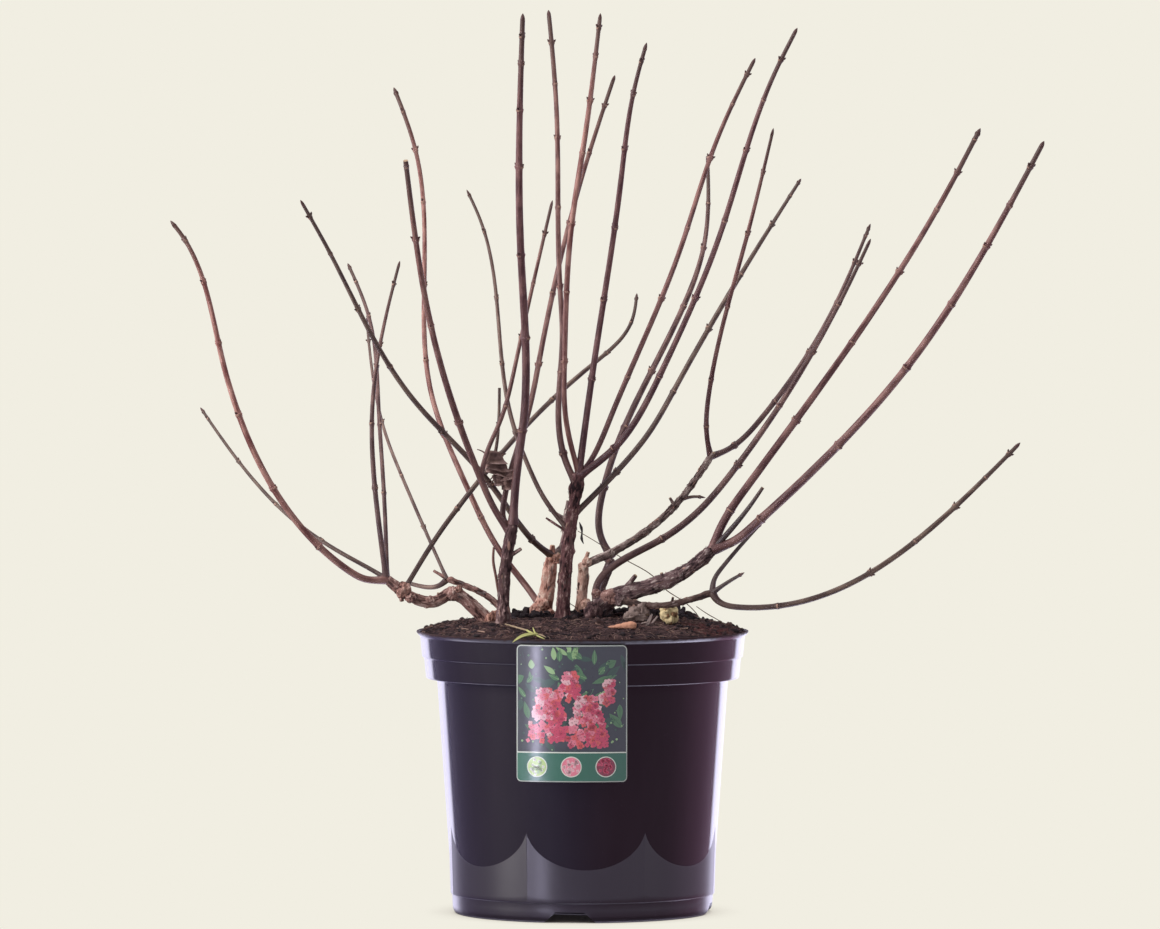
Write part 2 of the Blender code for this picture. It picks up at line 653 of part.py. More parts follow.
class Shrub:
    """Builds the limbs in order, each one giving way to those before it."""

    def __init__(self, collection, scratch, materials):
        self.collection = collection
        self.scratch = scratch
        self.materials = materials
        self.paths = {}
        self.rings = {}
        self.sides = {}

    def grow(self, limb, is_cane):
        """Make one limb and cut its foot clear of whatever it meets."""
        places = [np.array(place, dtype=float) for place in limb.through]
        if limb.on != "soil":
            parent = self.paths[limb.on]
            places.insert(0, point_on(parent, limb.at * path_lengths(parent)[-1]))
        path = smooth_path(places)
        sides = CANE_SIDES if is_cane else WOOD_SIDES
        rings = cane_rings(path, limb.thick) if is_cane else wood_rings(
            path, limb.thick, limb.on == "soil")
        piece = tube(limb.name, path, rings, sides, self.collection)
        piece.data.materials.append(self.materials["cane" if is_cane else "wood"])
        for stub in STUBS:
            if stub.on == limb.name:
                combine(piece, self.stub(stub, path), "UNION")
        if limb.on == "soil":
            combine(piece, build_soil("cover", self.scratch, None, lift=CLEARANCE), "DIFFERENCE")
        for earlier in self.paths:
            self.give_way(piece, earlier)
        keep_largest_body(piece.data)
        shade(piece, 50.0)
        self.paths[limb.name] = path
        self.rings[limb.name] = rings
        self.sides[limb.name] = sides
        return piece

    def stub(self, stub, path, swell=0.0):
        """The tube of a short spur, from inside its limb."""
        foot = point_on(path, stub.at * path_lengths(path)[-1])
        reach = np.array(stub.reach, dtype=float)
        line = smooth_path([foot, foot + 0.5 * reach, foot + reach])
        length = path_lengths(line)[-1]
        rings = [(share * length, thickness * 0.5 * stub.thick)
                 for share, thickness in STUB_TAPER.items()]
        return tube("stub", line, rings, CANE_SIDES, self.scratch, swell)

    def give_way(self, piece, earlier):
        """Cut the piece clear of an earlier limb, and of its spurs, where they meet."""
        cutters = [tube("clear", self.paths[earlier], self.rings[earlier], self.sides[earlier],
                        self.scratch, swell=CLEARANCE)]
        for stub in STUBS:
            if stub.on == earlier:
                cutters.append(self.stub(stub, self.paths[earlier], swell=CLEARANCE))
        for cutter in cutters:
            if touches(piece, cutter):
                combine(piece, cutter, "DIFFERENCE")
            else:
                bpy.data.objects.remove(cutter)


# --- Dead leaf ------------------------------------------------------------------------------

def build_leaf(collection, shrub, material):
    """A dry leaf crumpled round the canes that hold it."""
    bpy.ops.mesh.primitive_ico_sphere_add(subdivisions=3, radius=1.0)
    leaf = bpy.context.object
    leaf.name = "dead_leaf"
    for holder in list(leaf.users_collection):
        holder.objects.unlink(leaf)
    collection.objects.link(leaf)
    lean = math.radians(LEAF_LEAN)
    for vertex in leaf.data.vertices:
        x, y, z = vertex.co
        crease = 1.0 + LEAF_CREASE_DEPTH * math.sin(LEAF_CREASES * math.atan2(y, x) + 4.0 * z)
        x *= LEAF_HALF[0] * crease * (1.0 - LEAF_NARROWING * z)
        y *= LEAF_HALF[1] * crease
        z *= LEAF_HALF[2]
        vertex.co = Vector((
            LEAF_CENTRE[0] + x * math.cos(lean) - z * math.sin(lean),
            LEAF_CENTRE[1] + y,
            LEAF_CENTRE[2] + x * math.sin(lean) + z * math.cos(lean),
        )) * MM
    leaf.data.materials.append(material)
    for name in shrub.paths:
        shrub.give_way(leaf, name)
    keep_largest_body(leaf.data)
    shade(leaf, 60.0)
    return leaf


def main():
    """Build the whole plant."""
    for leftover in list(bpy.data.objects):
        bpy.data.objects.remove(leftover)
    parts = new_collection("hydrangea_shrub")
    scratch = new_collection("cutters")
    plastic = new_material("pot_plastic", (0.030, 0.024, 0.034), 0.30)
    earth = new_material("soil", (0.045, 0.028, 0.022), 0.95)
    card = new_material("label_card", (0.05, 0.16, 0.09), 0.35)
    withered = new_material("withered_leaf", (0.16, 0.10, 0.07), 0.85)
    bark = {
        "wood": new_material("old_wood", (0.14, 0.085, 0.065), 0.85),
        "cane": new_material("young_cane", (0.12, 0.045, 0.045), 0.60),
    }
    build_pot(parts, scratch, plastic)
    build_soil("soil", parts, earth)
    build_label(parts, card)
    shrub = Shrub(parts, scratch, bark)
    for limb in STEMS + BOUGHS:
        shrub.grow(limb, is_cane=False)
    for limb in CANES:
        shrub.grow(limb, is_cane=True)
    build_leaf(parts, shrub, withered)


main()
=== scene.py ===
"""Bare hydrangea shrub in its nursery pot: the finish of every surface.

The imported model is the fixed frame.  The pot, its compost and card, and every stem, bough and
cane are made again here with their fine relief, in the place that the frame gives them.  Design
values are millimetres and degrees; a mesh is turned into metres when it is built.
"""

import itertools
import logging
import math
from collections.abc import Iterable, Mapping, Sequence
from dataclasses import dataclass, field
from enum import Enum, IntEnum

import bmesh
import bpy
import numpy as np
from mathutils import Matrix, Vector


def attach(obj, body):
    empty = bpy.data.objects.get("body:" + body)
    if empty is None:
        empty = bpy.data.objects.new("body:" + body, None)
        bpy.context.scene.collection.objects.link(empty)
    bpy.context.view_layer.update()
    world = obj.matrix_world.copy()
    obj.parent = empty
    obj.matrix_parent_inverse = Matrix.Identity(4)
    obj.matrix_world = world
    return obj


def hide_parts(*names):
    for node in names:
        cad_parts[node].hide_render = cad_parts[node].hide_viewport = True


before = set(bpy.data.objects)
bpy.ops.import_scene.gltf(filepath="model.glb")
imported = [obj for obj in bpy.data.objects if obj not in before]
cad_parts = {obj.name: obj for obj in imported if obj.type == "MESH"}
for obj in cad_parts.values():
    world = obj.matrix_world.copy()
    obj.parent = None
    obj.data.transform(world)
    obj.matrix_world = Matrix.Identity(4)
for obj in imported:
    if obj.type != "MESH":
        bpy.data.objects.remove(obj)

LOG = logging.getLogger("shrub")
MM = 0.001
BODY = "root"
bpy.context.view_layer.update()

Array = np.ndarray
Vec = tuple[float, float, float]
Colour = tuple[float, float, float]


def tint(red: int, green: int, blue: int) -> Colour:
    """Turn a display colour into the linear colour that shaders use.

    Args:
        red: Red from 0 to 255.
        green: Green from 0 to 255.
        blue: Blue from 0 to 255.

    Returns:
        The linear colour.
    """
    parts = [value / 255.0 for value in (red, green, blue)]
    linear = [p / 12.92 if p <= 0.04045 else ((p + 0.055) / 1.055) ** 2.4 for p in parts]
    return linear[0], linear[1], linear[2]


# --- Shader kit -----------------------------------------------------------------------------

class Signal:
    """A shader output that takes part in Python expressions on numbers."""

    def __init__(self, paint: "Paint", socket: bpy.types.NodeSocket) -> None:
        """Wrap an output socket of the paint's node tree."""
        self.paint = paint
        self.socket = socket

    def _math(self, operation: str, *values: "Signal | float") -> "Signal":
        """Add a Math node.

        Args:
            operation: The Math node's operation.
            *values: Its values, as signals or numbers.

        Returns:
            The node's result.
        """
        return self.paint.node("ShaderNodeMath", {"operation": operation}, dict(enumerate(values)))

    def __add__(self, other: "Signal | float") -> "Signal":
        """Sum."""
        return self._math("ADD", self, other)

    def __radd__(self, other: float) -> "Signal":
        """Sum with a number on the left."""
        return self._math("ADD", other, self)

    def __sub__(self, other: "Signal | float") -> "Signal":
        """Difference."""
        return self._math("SUBTRACT", self, other)

    def __rsub__(self, other: float) -> "Signal":
        """Difference from a number."""
        return self._math("SUBTRACT", other, self)

    def __mul__(self, other: "Signal | float") -> "Signal":
        """Product."""
        return self._math("MULTIPLY", self, other)

    def __rmul__(self, other: float) -> "Signal":
        """Product with a number on the left."""
        return self._math("MULTIPLY", other, self)

    def __truediv__(self, other: "Signal | float") -> "Signal":
        """Quotient."""
        return self._math("DIVIDE", self, other)

    def __rtruediv__(self, other: float) -> "Signal":
        """A number divided by this."""
        return self._math("DIVIDE", other, self)

    def __pow__(self, other: "Signal | float") -> "Signal":
        """Power."""
        return self._math("POWER", self, other)

    def __abs__(self) -> "Signal":
        """Size without its sign."""
        return self._math("ABSOLUTE", self)

    def arctan2(self, other: "Signal") -> "Signal":
        """Angle of the point (other, self) in radians."""
        return self._math("ARCTAN2", self, other)

    def at_most(self, other: "Signal | float") -> "Signal":
        """The smaller of the two."""
        return self._math("MINIMUM", self, other)

    def rise(self, low: float, high: float) -> "Signal":
        """Climb smoothly from 0 at low to 1 at high.

        Args:
            low: Value below which the result is 0.
            high: Value above which the result is 1.

        Returns:
            The smooth step.
        """
        return self.paint.node(
            "ShaderNodeMapRange",
            {"interpolation_type": "SMOOTHSTEP"},
            {"Value": self, "From Min": low, "From Max": high},
        )

    def fall(self, low: float, high: float) -> "Signal":
        """Drop smoothly from 1 at low to 0 at high."""
        return 1.0 - self.rise(low, high)


class Paint:
    """A node tree that is being painted."""

    def __init__(self, tree: bpy.types.NodeTree) -> None:
        """Start on a node tree."""
        self.tree = tree

    def feed(self, socket: bpy.types.NodeSocket, value: "Signal | float | Sequence[float]") -> None:
        """Link a signal to a socket, or set the socket's own value.

        Args:
            socket: The input.
            value: A signal, a number, a colour or a vector.
        """
        if isinstance(value, Signal):
            self.tree.links.new(value.socket, socket)
        elif socket.type == "RGBA" and len(value) == 3:
            socket.default_value = (*value, 1.0)
        else:
            socket.default_value = value

    def node(
        self,
        kind: str,
        settings: Mapping[str, object] | None = None,
        sockets: Mapping[int | str, object] | None = None,
        output: int | str = 0,
    ) -> Signal:
        """Add a node: its settings come first, then the values or links of its sockets.

        Args:
            kind: The node's type.
            settings: Its settings by name.
            sockets: What goes into its sockets, by name or number.
            output: The output that is wanted.

        Returns:
            That output.
        """
        made = self.tree.nodes.new(kind)
        for name, value in (settings or {}).items():
            setattr(made, name, value)
        for key, value in (sockets or {}).items():
            self.feed(made.inputs[key], value)
        return Signal(self, made.outputs[output])

    def own(self, name: str, output: str = "Fac") -> Signal:
        """The mesh's own attribute: output "Fac" for a number, "Vector" for a vector."""
        return self.node("ShaderNodeAttribute", {"attribute_name": name}, output=output)

    def place(self) -> Signal:
        """The point on the object, in metres."""
        return self.node("ShaderNodeTexCoord", output="Object")

    def axis(self, vector: Signal, name: str) -> Signal:
        """One of a vector's parts, "X", "Y" or "Z"."""
        return self.node("ShaderNodeSeparateXYZ", sockets={0: vector}, output=name)

    def stretch(self, vector: Signal, factors: Vec) -> Signal:
        """Scale a vector along its axes."""
        return self.node(
            "ShaderNodeVectorMath", {"operation": "MULTIPLY"}, {0: vector, 1: factors})

    def noise(self, where: Signal, scale: float, detail: float = 3.0, rough: float = 0.55) -> Signal:
        """Layered noise about 0.5.

        Args:
            where: The point.
            scale: Bumps in one unit of the point's length.
            detail: How many finer layers there are.
            rough: How strong each finer layer is.

        Returns:
            The noise.
        """
        return self.node(
            "ShaderNodeTexNoise",
            sockets={"Vector": where, "Scale": scale, "Detail": detail, "Roughness": rough},
        )

    def cells(self, where: Signal, scale: float) -> Signal:
        """Distance from the nearest of the points scattered over space.

        Args:
            where: The point.
            scale: Scattered points in one unit of the point's length.

        Returns:
            The distance.
        """
        return self.node("ShaderNodeTexVoronoi", {"feature": "F1"}, {"Vector": where, "Scale": scale})

    def blend(self, mask: "Signal | float", first: object, second: object) -> Signal:
        """Mix two colours.

        Args:
            mask: 0 for the first colour, 1 for the second.
            first: A colour.
            second: A colour.

        Returns:
            The mixed colour.
        """
        return self.node(
            "ShaderNodeMix", {"data_type": "RGBA"}, {0: mask, 6: first, 7: second}, output=2)

    def relief(self, height: Signal, depth: float, strength: float = 1.0) -> Signal:
        """Bump the surface.

        Args:
            height: Height from 0 to 1.
            depth: What a height of 1 stands for, in metres.
            strength: Share of the bump that shows.

        Returns:
            The normal.
        """
        return self.node(
            "ShaderNodeBump", sockets={"Height": height, "Distance": depth, "Strength": strength})


class FinishPaint(Paint):
    """A new material with a Principled shader."""

    def __init__(self, name: str) -> None:
        """Start the material."""
        self.material = bpy.data.materials.new(name)
        self.material.use_nodes = True
        super().__init__(self.material.node_tree)
        self.surface = self.tree.nodes["Principled BSDF"]

    def dress(self, sockets: Mapping[str, object]) -> bpy.types.Material:
        """Feed the Principled shader's sockets and give back the material."""
        for name, value in sockets.items():
            self.feed(self.surface.inputs[name], value)
        return self.material


# --- Finishes -------------------------------------------------------------------------------

@dataclass(frozen=True)
class CaneBark:
    """Smooth bark of last summer's canes: streaks of a paler bloom, pale pores, darker towards the foot."""

    name: str
    shade: Colour
    bloom: Colour
    foot: Colour = tint(52, 35, 35)
    tip: Colour = tint(82, 64, 54)
    pore: Colour = tint(170, 140, 128)

    def material(self) -> bpy.types.Material:
        """Paint the bark along the cane's own grain."""
        paint = FinishPaint(self.name)
        grain = paint.own("grain", "Vector")
        age = paint.own("age")
        streaks = paint.noise(paint.stretch(grain, (1.0, 1.0, 0.10)), 0.42, 4.0, 0.6)
        clouds = paint.noise(paint.stretch(grain, (1.4, 1.4, 1.0)), 0.06, 4.0)
        fine = paint.noise(paint.stretch(grain, (1.0, 1.0, 0.22)), 2.1, 2.0)
        bloom = (streaks * 0.9 + clouds * 0.7).rise(0.65, 0.95)
        colour = paint.blend(bloom, self.shade, self.bloom)
        # Darker towards the foot of the cane.
        colour = paint.blend((age + clouds * 0.2).fall(0.10, 0.80) * 0.46, colour, self.foot)
        colour = paint.blend((age + clouds * 0.16).rise(0.86, 1.06) * 0.85, colour, self.tip)
        pores = paint.cells(paint.stretch(grain, (1.0, 1.0, 0.42)), 0.62).fall(0.10, 0.17)
        pores = pores * clouds.rise(0.42, 0.58)
        colour = paint.blend(pores * 0.75, colour, self.pore)
        height = streaks * 0.5 + fine * 0.3 + pores * 0.35
        return paint.dress({
            "Base Color": colour,
            "Roughness": 0.42 + fine * 0.22,
            "Normal": paint.relief(height, 0.0004, 0.7),
            "Specular IOR Level": 0.45,
        })


class CaneTone(Enum):
    """The tones that canes of different light and age take."""

    ROSE = CaneBark("cane_bark_rose", tint(117, 65, 58), tint(188, 141, 130))
    WINE = CaneBark("cane_bark_wine", tint(91, 50, 47), tint(154, 112, 105))
    MAUVE = CaneBark("cane_bark_mauve", tint(79, 43, 43), tint(134, 95, 92))
    RUSSET = CaneBark("cane_bark_russet", tint(93, 56, 50), tint(150, 111, 102))
    DUSK = CaneBark("cane_bark_dusk", tint(77, 51, 46), tint(132, 101, 94))
    GREY = CaneBark("cane_bark_grey", tint(89, 65, 56), tint(146, 121, 109))
    OLIVE = CaneBark("cane_bark_olive", tint(73, 55, 45), tint(124, 103, 89))
    DARK = CaneBark("cane_bark_dark", tint(48, 38, 34), tint(88, 74, 68))


@dataclass(frozen=True)
class OldBark:
    """Bark of old wood: dark fissures between paler plates, with grey weathered patches; the dark of the
    fissures is partly painted shade and the pale crests partly painted highlight.
    """

    name: str
    pit: Colour
    face: Colour
    crest: Colour
    grey: Colour = tint(136, 124, 118)
    knot_pit: Colour = tint(104, 66, 58)
    knot_face: Colour = tint(196, 144, 124)

    def material(self) -> bpy.types.Material:
        """Paint the bark by its own relief."""
        paint = FinishPaint(self.name)
        grain = paint.own("grain", "Vector")
        height = paint.own("relief")
        knot = paint.own("knot")
        patches = paint.noise(paint.stretch(grain, (1.0, 1.0, 0.4)), 0.14, 3.0)
        strands = paint.noise(paint.stretch(grain, (1.0, 1.0, 0.18)), 0.75, 5.0, 0.68)
        specks = paint.noise(paint.stretch(grain, (1.0, 1.0, 0.6)), 1.0, 3.0, 0.65)
        level = height + (strands - 0.5) * 1.2 + (patches - 0.5) * 0.6
        # Colour follows the relief: the dark of the pits is partly painted shade, and the pale crest colour
        # partly painted highlight.
        colour = paint.blend(level.rise(0.00, 0.46), self.pit, self.face)
        colour = paint.blend((level + (specks - 0.5) * 1.1).rise(0.54, 0.92), colour, self.crest)
        colour = paint.blend(patches.rise(0.56, 0.72) * 0.35, colour, self.grey)
        cut = paint.blend(level.rise(0.05, 0.62), self.knot_pit, self.knot_face)
        colour = paint.blend((knot + (strands - 0.5) * 0.6).rise(0.25, 0.7), colour, cut)
        return paint.dress({
            "Base Color": colour,
            "Roughness": 0.95 - level.rise(0.3, 0.9) * 0.2,
            "Normal": paint.relief(strands * 0.6 + specks * 0.4, 0.0009, 0.9),
            "Specular IOR Level": 0.3,
        })


class WoodTone(Enum):
    """The tones of old wood."""

    DARK = OldBark("old_bark_dark", tint(40, 27, 29), tint(94, 70, 72), tint(172, 144, 141))
    BLACK = OldBark("old_bark_black", tint(42, 28, 31), tint(113, 78, 80), tint(196, 162, 158))
    TAN = OldBark("old_bark_tan", tint(118, 78, 68), tint(206, 158, 144), tint(248, 224, 208))
    PALE = OldBark("old_bark_pale", tint(126, 92, 82), tint(208, 168, 154), tint(244, 222, 208))
    BROWN = OldBark("old_bark_brown", tint(66, 45, 44), tint(152, 115, 109), tint(222, 192, 184))
    ASH = OldBark("old_bark_ash", tint(58, 44, 44), tint(144, 123, 120), tint(214, 197, 191))
    DUSK = OldBark("old_bark_dusk", tint(45, 32, 35), tint(102, 80, 82), tint(180, 163, 160))
    OLIVE = OldBark("old_bark_olive", tint(40, 29, 28), tint(76, 58, 54), tint(116, 98, 92))


@dataclass(frozen=True)
class Speck:
    """Finish of small things: one plain colour, with a little life in its gloss and surface."""

    name: str
    colour: Colour
    rough: float = 0.8
    grain: float = 900.0
    depth: float = 0.0003
    coat: float = 0.0

    def material(self) -> bpy.types.Material:
        """Paint the plain colour and the uneven surface."""
        paint = FinishPaint(self.name)
        bumps = paint.noise(paint.place(), self.grain, 3.0)
        return paint.dress({
            "Base Color": self.colour,
            "Roughness": self.rough - 0.12 + bumps * 0.24,
            "Normal": paint.relief(bumps, self.depth, 0.8),
            "Coat Weight": self.coat,
            "Coat Roughness": 0.18,
        })


@dataclass(frozen=True)
class PotPlastic:
    """Recycled moulded plastic, aubergine black, dusted with compost under the lip.

    The wall is glossy, and the skirt and foot ring have the satin of a sparked mould; the paler colour that
    they are given is painted sheen.
    """

    name: str
    gloss: float
    colour: Colour = tint(24, 18, 23)
    streak: Colour = tint(32, 25, 31)
    scuff: Colour = tint(104, 96, 110)
    dust: Colour = tint(64, 47, 45)
    dust_from: float = 232.6
    dust_full: float = 236.6
    dust_gain: float = 0.42

    def material(self) -> bpy.types.Material:
        """Paint the plastic, its faint flow marks, scuffs and dust."""
        paint = FinishPaint(self.name)
        place = paint.place()
        height = paint.axis(place, "Z") * (1.0 / MM)
        flow = paint.noise(paint.stretch(place, (1.0, 1.0, 0.22)), 24.0, 3.0)
        fine = paint.noise(place, 520.0, 2.0)
        rubs = paint.noise(paint.stretch(place, (1.0, 1.0, 3.0)), 60.0, 6.0, 0.75)
        crowd = paint.noise(place, 30.0, 2.0).rise(0.50, 0.62)
        specks = paint.cells(place, 230.0).fall(0.05, 0.11) * crowd
        low = height.fall(4.0, 46.0)
        scuffs = (rubs + low * 0.05).rise(0.66, 0.78) * (0.35 + low * 0.65)
        grit = paint.noise(place, 330.0, 5.0, 0.75)
        gain = self.dust_gain / (self.dust_full - self.dust_from)
        dust = (grit + (height - self.dust_from) * gain).rise(0.62, 0.95)
        colour = paint.blend(flow.rise(0.35, 0.75), self.colour, self.streak)
        colour = paint.blend(scuffs * 0.30, colour, self.scuff)
        colour = paint.blend(specks * (0.10 + low * 0.30), colour, self.scuff)
        colour = paint.blend(dust, colour, self.dust)
        return paint.dress({
            "Base Color": colour,
            "Roughness": 0.46 + scuffs * 0.15 + dust * 0.35,
            "Specular IOR Level": 0.12,
            "Coat Weight": (1.0 - dust * 0.95 - scuffs * 0.35) * height.rise(1.0, 6.0),
            "Coat Roughness": self.gloss,
            "Coat IOR": 1.5,
            "Normal": paint.relief(flow * 0.55 + fine * 0.02 + dust * 0.30, 0.0007, 0.30),
        })


@dataclass(frozen=True)
class CompostEarth:
    """Moist peat compost: black crumbs, brown peat and reddish fibre, with painted shade in its hollows."""

    name: str = "compost_earth"

    def material(self) -> bpy.types.Material:
        """Paint the compost by its own relief."""
        paint = FinishPaint(self.name)
        place = paint.place()
        height = paint.own("relief")
        crumbs = paint.noise(place, 420.0, 6.0, 0.74)
        patches = paint.noise(place, 42.0, 3.0)
        threads = paint.noise(paint.stretch(place, (1.0, 0.22, 1.0)), 760.0, 4.0, 0.7)
        # The colour follows the relief: its black in the hollows is partly painted shade, its paler tops
        # partly painted light.
        level = height * 0.6 + crumbs * 0.6
        colour = paint.blend(level.rise(0.36, 0.80), tint(14, 8, 10), tint(58, 40, 41))
        colour = paint.blend((level + patches * 0.3).rise(0.80, 1.02), colour, tint(104, 80, 76))
        fibre = threads.rise(0.54, 0.66) * patches.rise(0.4, 0.6) * 0.8
        colour = paint.blend(fibre, colour, tint(112, 78, 72))
        return paint.dress({
            "Base Color": colour,
            "Roughness": 0.96 - crumbs * 0.14,
            "Normal": paint.relief(crumbs * 0.7 + threads * 0.3, 0.0016, 1.0),
            "Specular IOR Level": 0.3,
        })


@dataclass(frozen=True)
class WitheredBlade:
    """Dry brown leaf, with its shade painted in: dark where each collar lies in the shadow of the one above
    and in its folds, paler on its pleats and edges.
    """

    name: str = "withered_blade"

    def material(self) -> bpy.types.Material:
        """Paint the leaf along its own grain, which runs across and along the blade."""
        paint = FinishPaint(self.name)
        grain = paint.own("grain", "Vector")
        height = paint.own("relief")
        blotches = paint.noise(grain, 0.16, 3.0)
        wrinkles = paint.noise(paint.stretch(grain, (0.4, 1.0, 1.0)), 1.1, 4.0, 0.6)
        # Painted shade and light: low relief, under the collar above and in the folds, is darker; high
        # relief on the pleats and edges is paler.
        colour = paint.blend(height.rise(0.05, 0.45), tint(72, 55, 53), tint(136, 108, 104))
        colour = paint.blend(blotches.rise(0.40, 0.64) * 0.6, colour, tint(112, 90, 80))
        colour = paint.blend((height + wrinkles * 0.4).rise(0.70, 1.00), colour, tint(172, 144, 140))
        return paint.dress({
            "Base Color": colour,
            "Roughness": 0.72 + wrinkles * 0.2,
            "Normal": paint.relief(wrinkles, 0.0006, 0.9),
            "Specular IOR Level": 0.35,
        })


SCAR = Speck("leaf_scar", tint(166, 132, 118), 0.8)
BUD = Speck("bud_scales", tint(82, 54, 46), 0.55)
PITH = Speck("cut_wood", tint(176, 150, 124), 0.85)


# --- Mesh kit -------------------------------------------------------------------------------

def unit(vectors: Array) -> Array:
    """Scale each vector to a length of one."""
    return vectors / np.maximum(np.linalg.norm(vectors, axis=-1, keepdims=True), 1e-12)


def triples(*parts: "float | Array") -> Array:
    """Points or directions from their three parts, spread to one grid."""
    return np.stack(np.broadcast_arrays(*parts), axis=-1)


def around(count: int) -> Array:
    """Evenly spaced angles of a full turn."""
    return np.arange(count) * 2.0 * math.pi / count


def apart(turn: Array, toward: float) -> Array:
    """How far angles lie from one direction, up to half a turn."""
    return np.abs((turn - toward + math.pi) % (2.0 * math.pi) - math.pi)


def ring_points(turn: Array) -> Array:
    """Points of the unit circle at some angles."""
    return np.stack([np.cos(turn), np.sin(turn)], axis=-1)


def globe(tilt: Array, columns: int) -> Array:
    """Points of the unit ball: rows at some tilts from its top, with evenly spread columns."""
    turn = around(columns)[None]
    return triples(np.sin(tilt) * np.cos(turn), np.sin(tilt) * np.sin(turn), np.cos(tilt))


def spinner(axis: int, angle: float) -> Array:
    """The matrix that turns points about one axis."""
    first, second = (axis + 1) % 3, (axis + 2) % 3
    matrix = np.eye(3)
    matrix[first, first] = matrix[second, second] = math.cos(angle)
    matrix[second, first], matrix[first, second] = math.sin(angle), -math.sin(angle)
    return matrix


@dataclass(frozen=True)
class Grain:
    """Smooth seeded noise in space, worked out for many points at once."""

    seed: int

    def at(self, points: Array, size: float) -> Array:
        """Noise between -1 and 1.

        Args:
            points: Points in rows.
            size: Distance over which the noise changes.

        Returns:
            One value for each point.
        """
        table = np.random.default_rng(self.seed).uniform(-1.0, 1.0, 8192)
        cells = np.asarray(points, dtype=float) / size + 37.7 * self.seed
        low = np.floor(cells).astype(np.int64)
        part = cells - low
        ease = part * part * (3.0 - 2.0 * part)
        total = np.zeros(cells.shape[:-1])
        for corner in itertools.product((0, 1), repeat=3):
            spot = low + corner
            key = (spot[..., 0] * 73856093) ^ (spot[..., 1] * 19349663) ^ (spot[..., 2] * 83492791)
            weight = np.prod(np.where(np.array(corner) == 1, ease, 1.0 - ease), axis=-1)
            total += weight * table[key & 8191]
        return total

    def layers(self, points: Array, size: float, count: int = 3, fade: float = 0.5) -> Array:
        """Noise with finer and weaker layers added.

        Args:
            points: Points in rows.
            size: Distance over which the coarsest layer changes.
            count: How many layers there are.
            fade: Strength of each layer as a share of the one before.

        Returns:
            One value for each point, mostly between -1 and 1.
        """
        total = sum(fade ** i * Grain(self.seed + i).at(points, size / 2 ** i) for i in range(count))
        return total / sum(fade ** i for i in range(count))


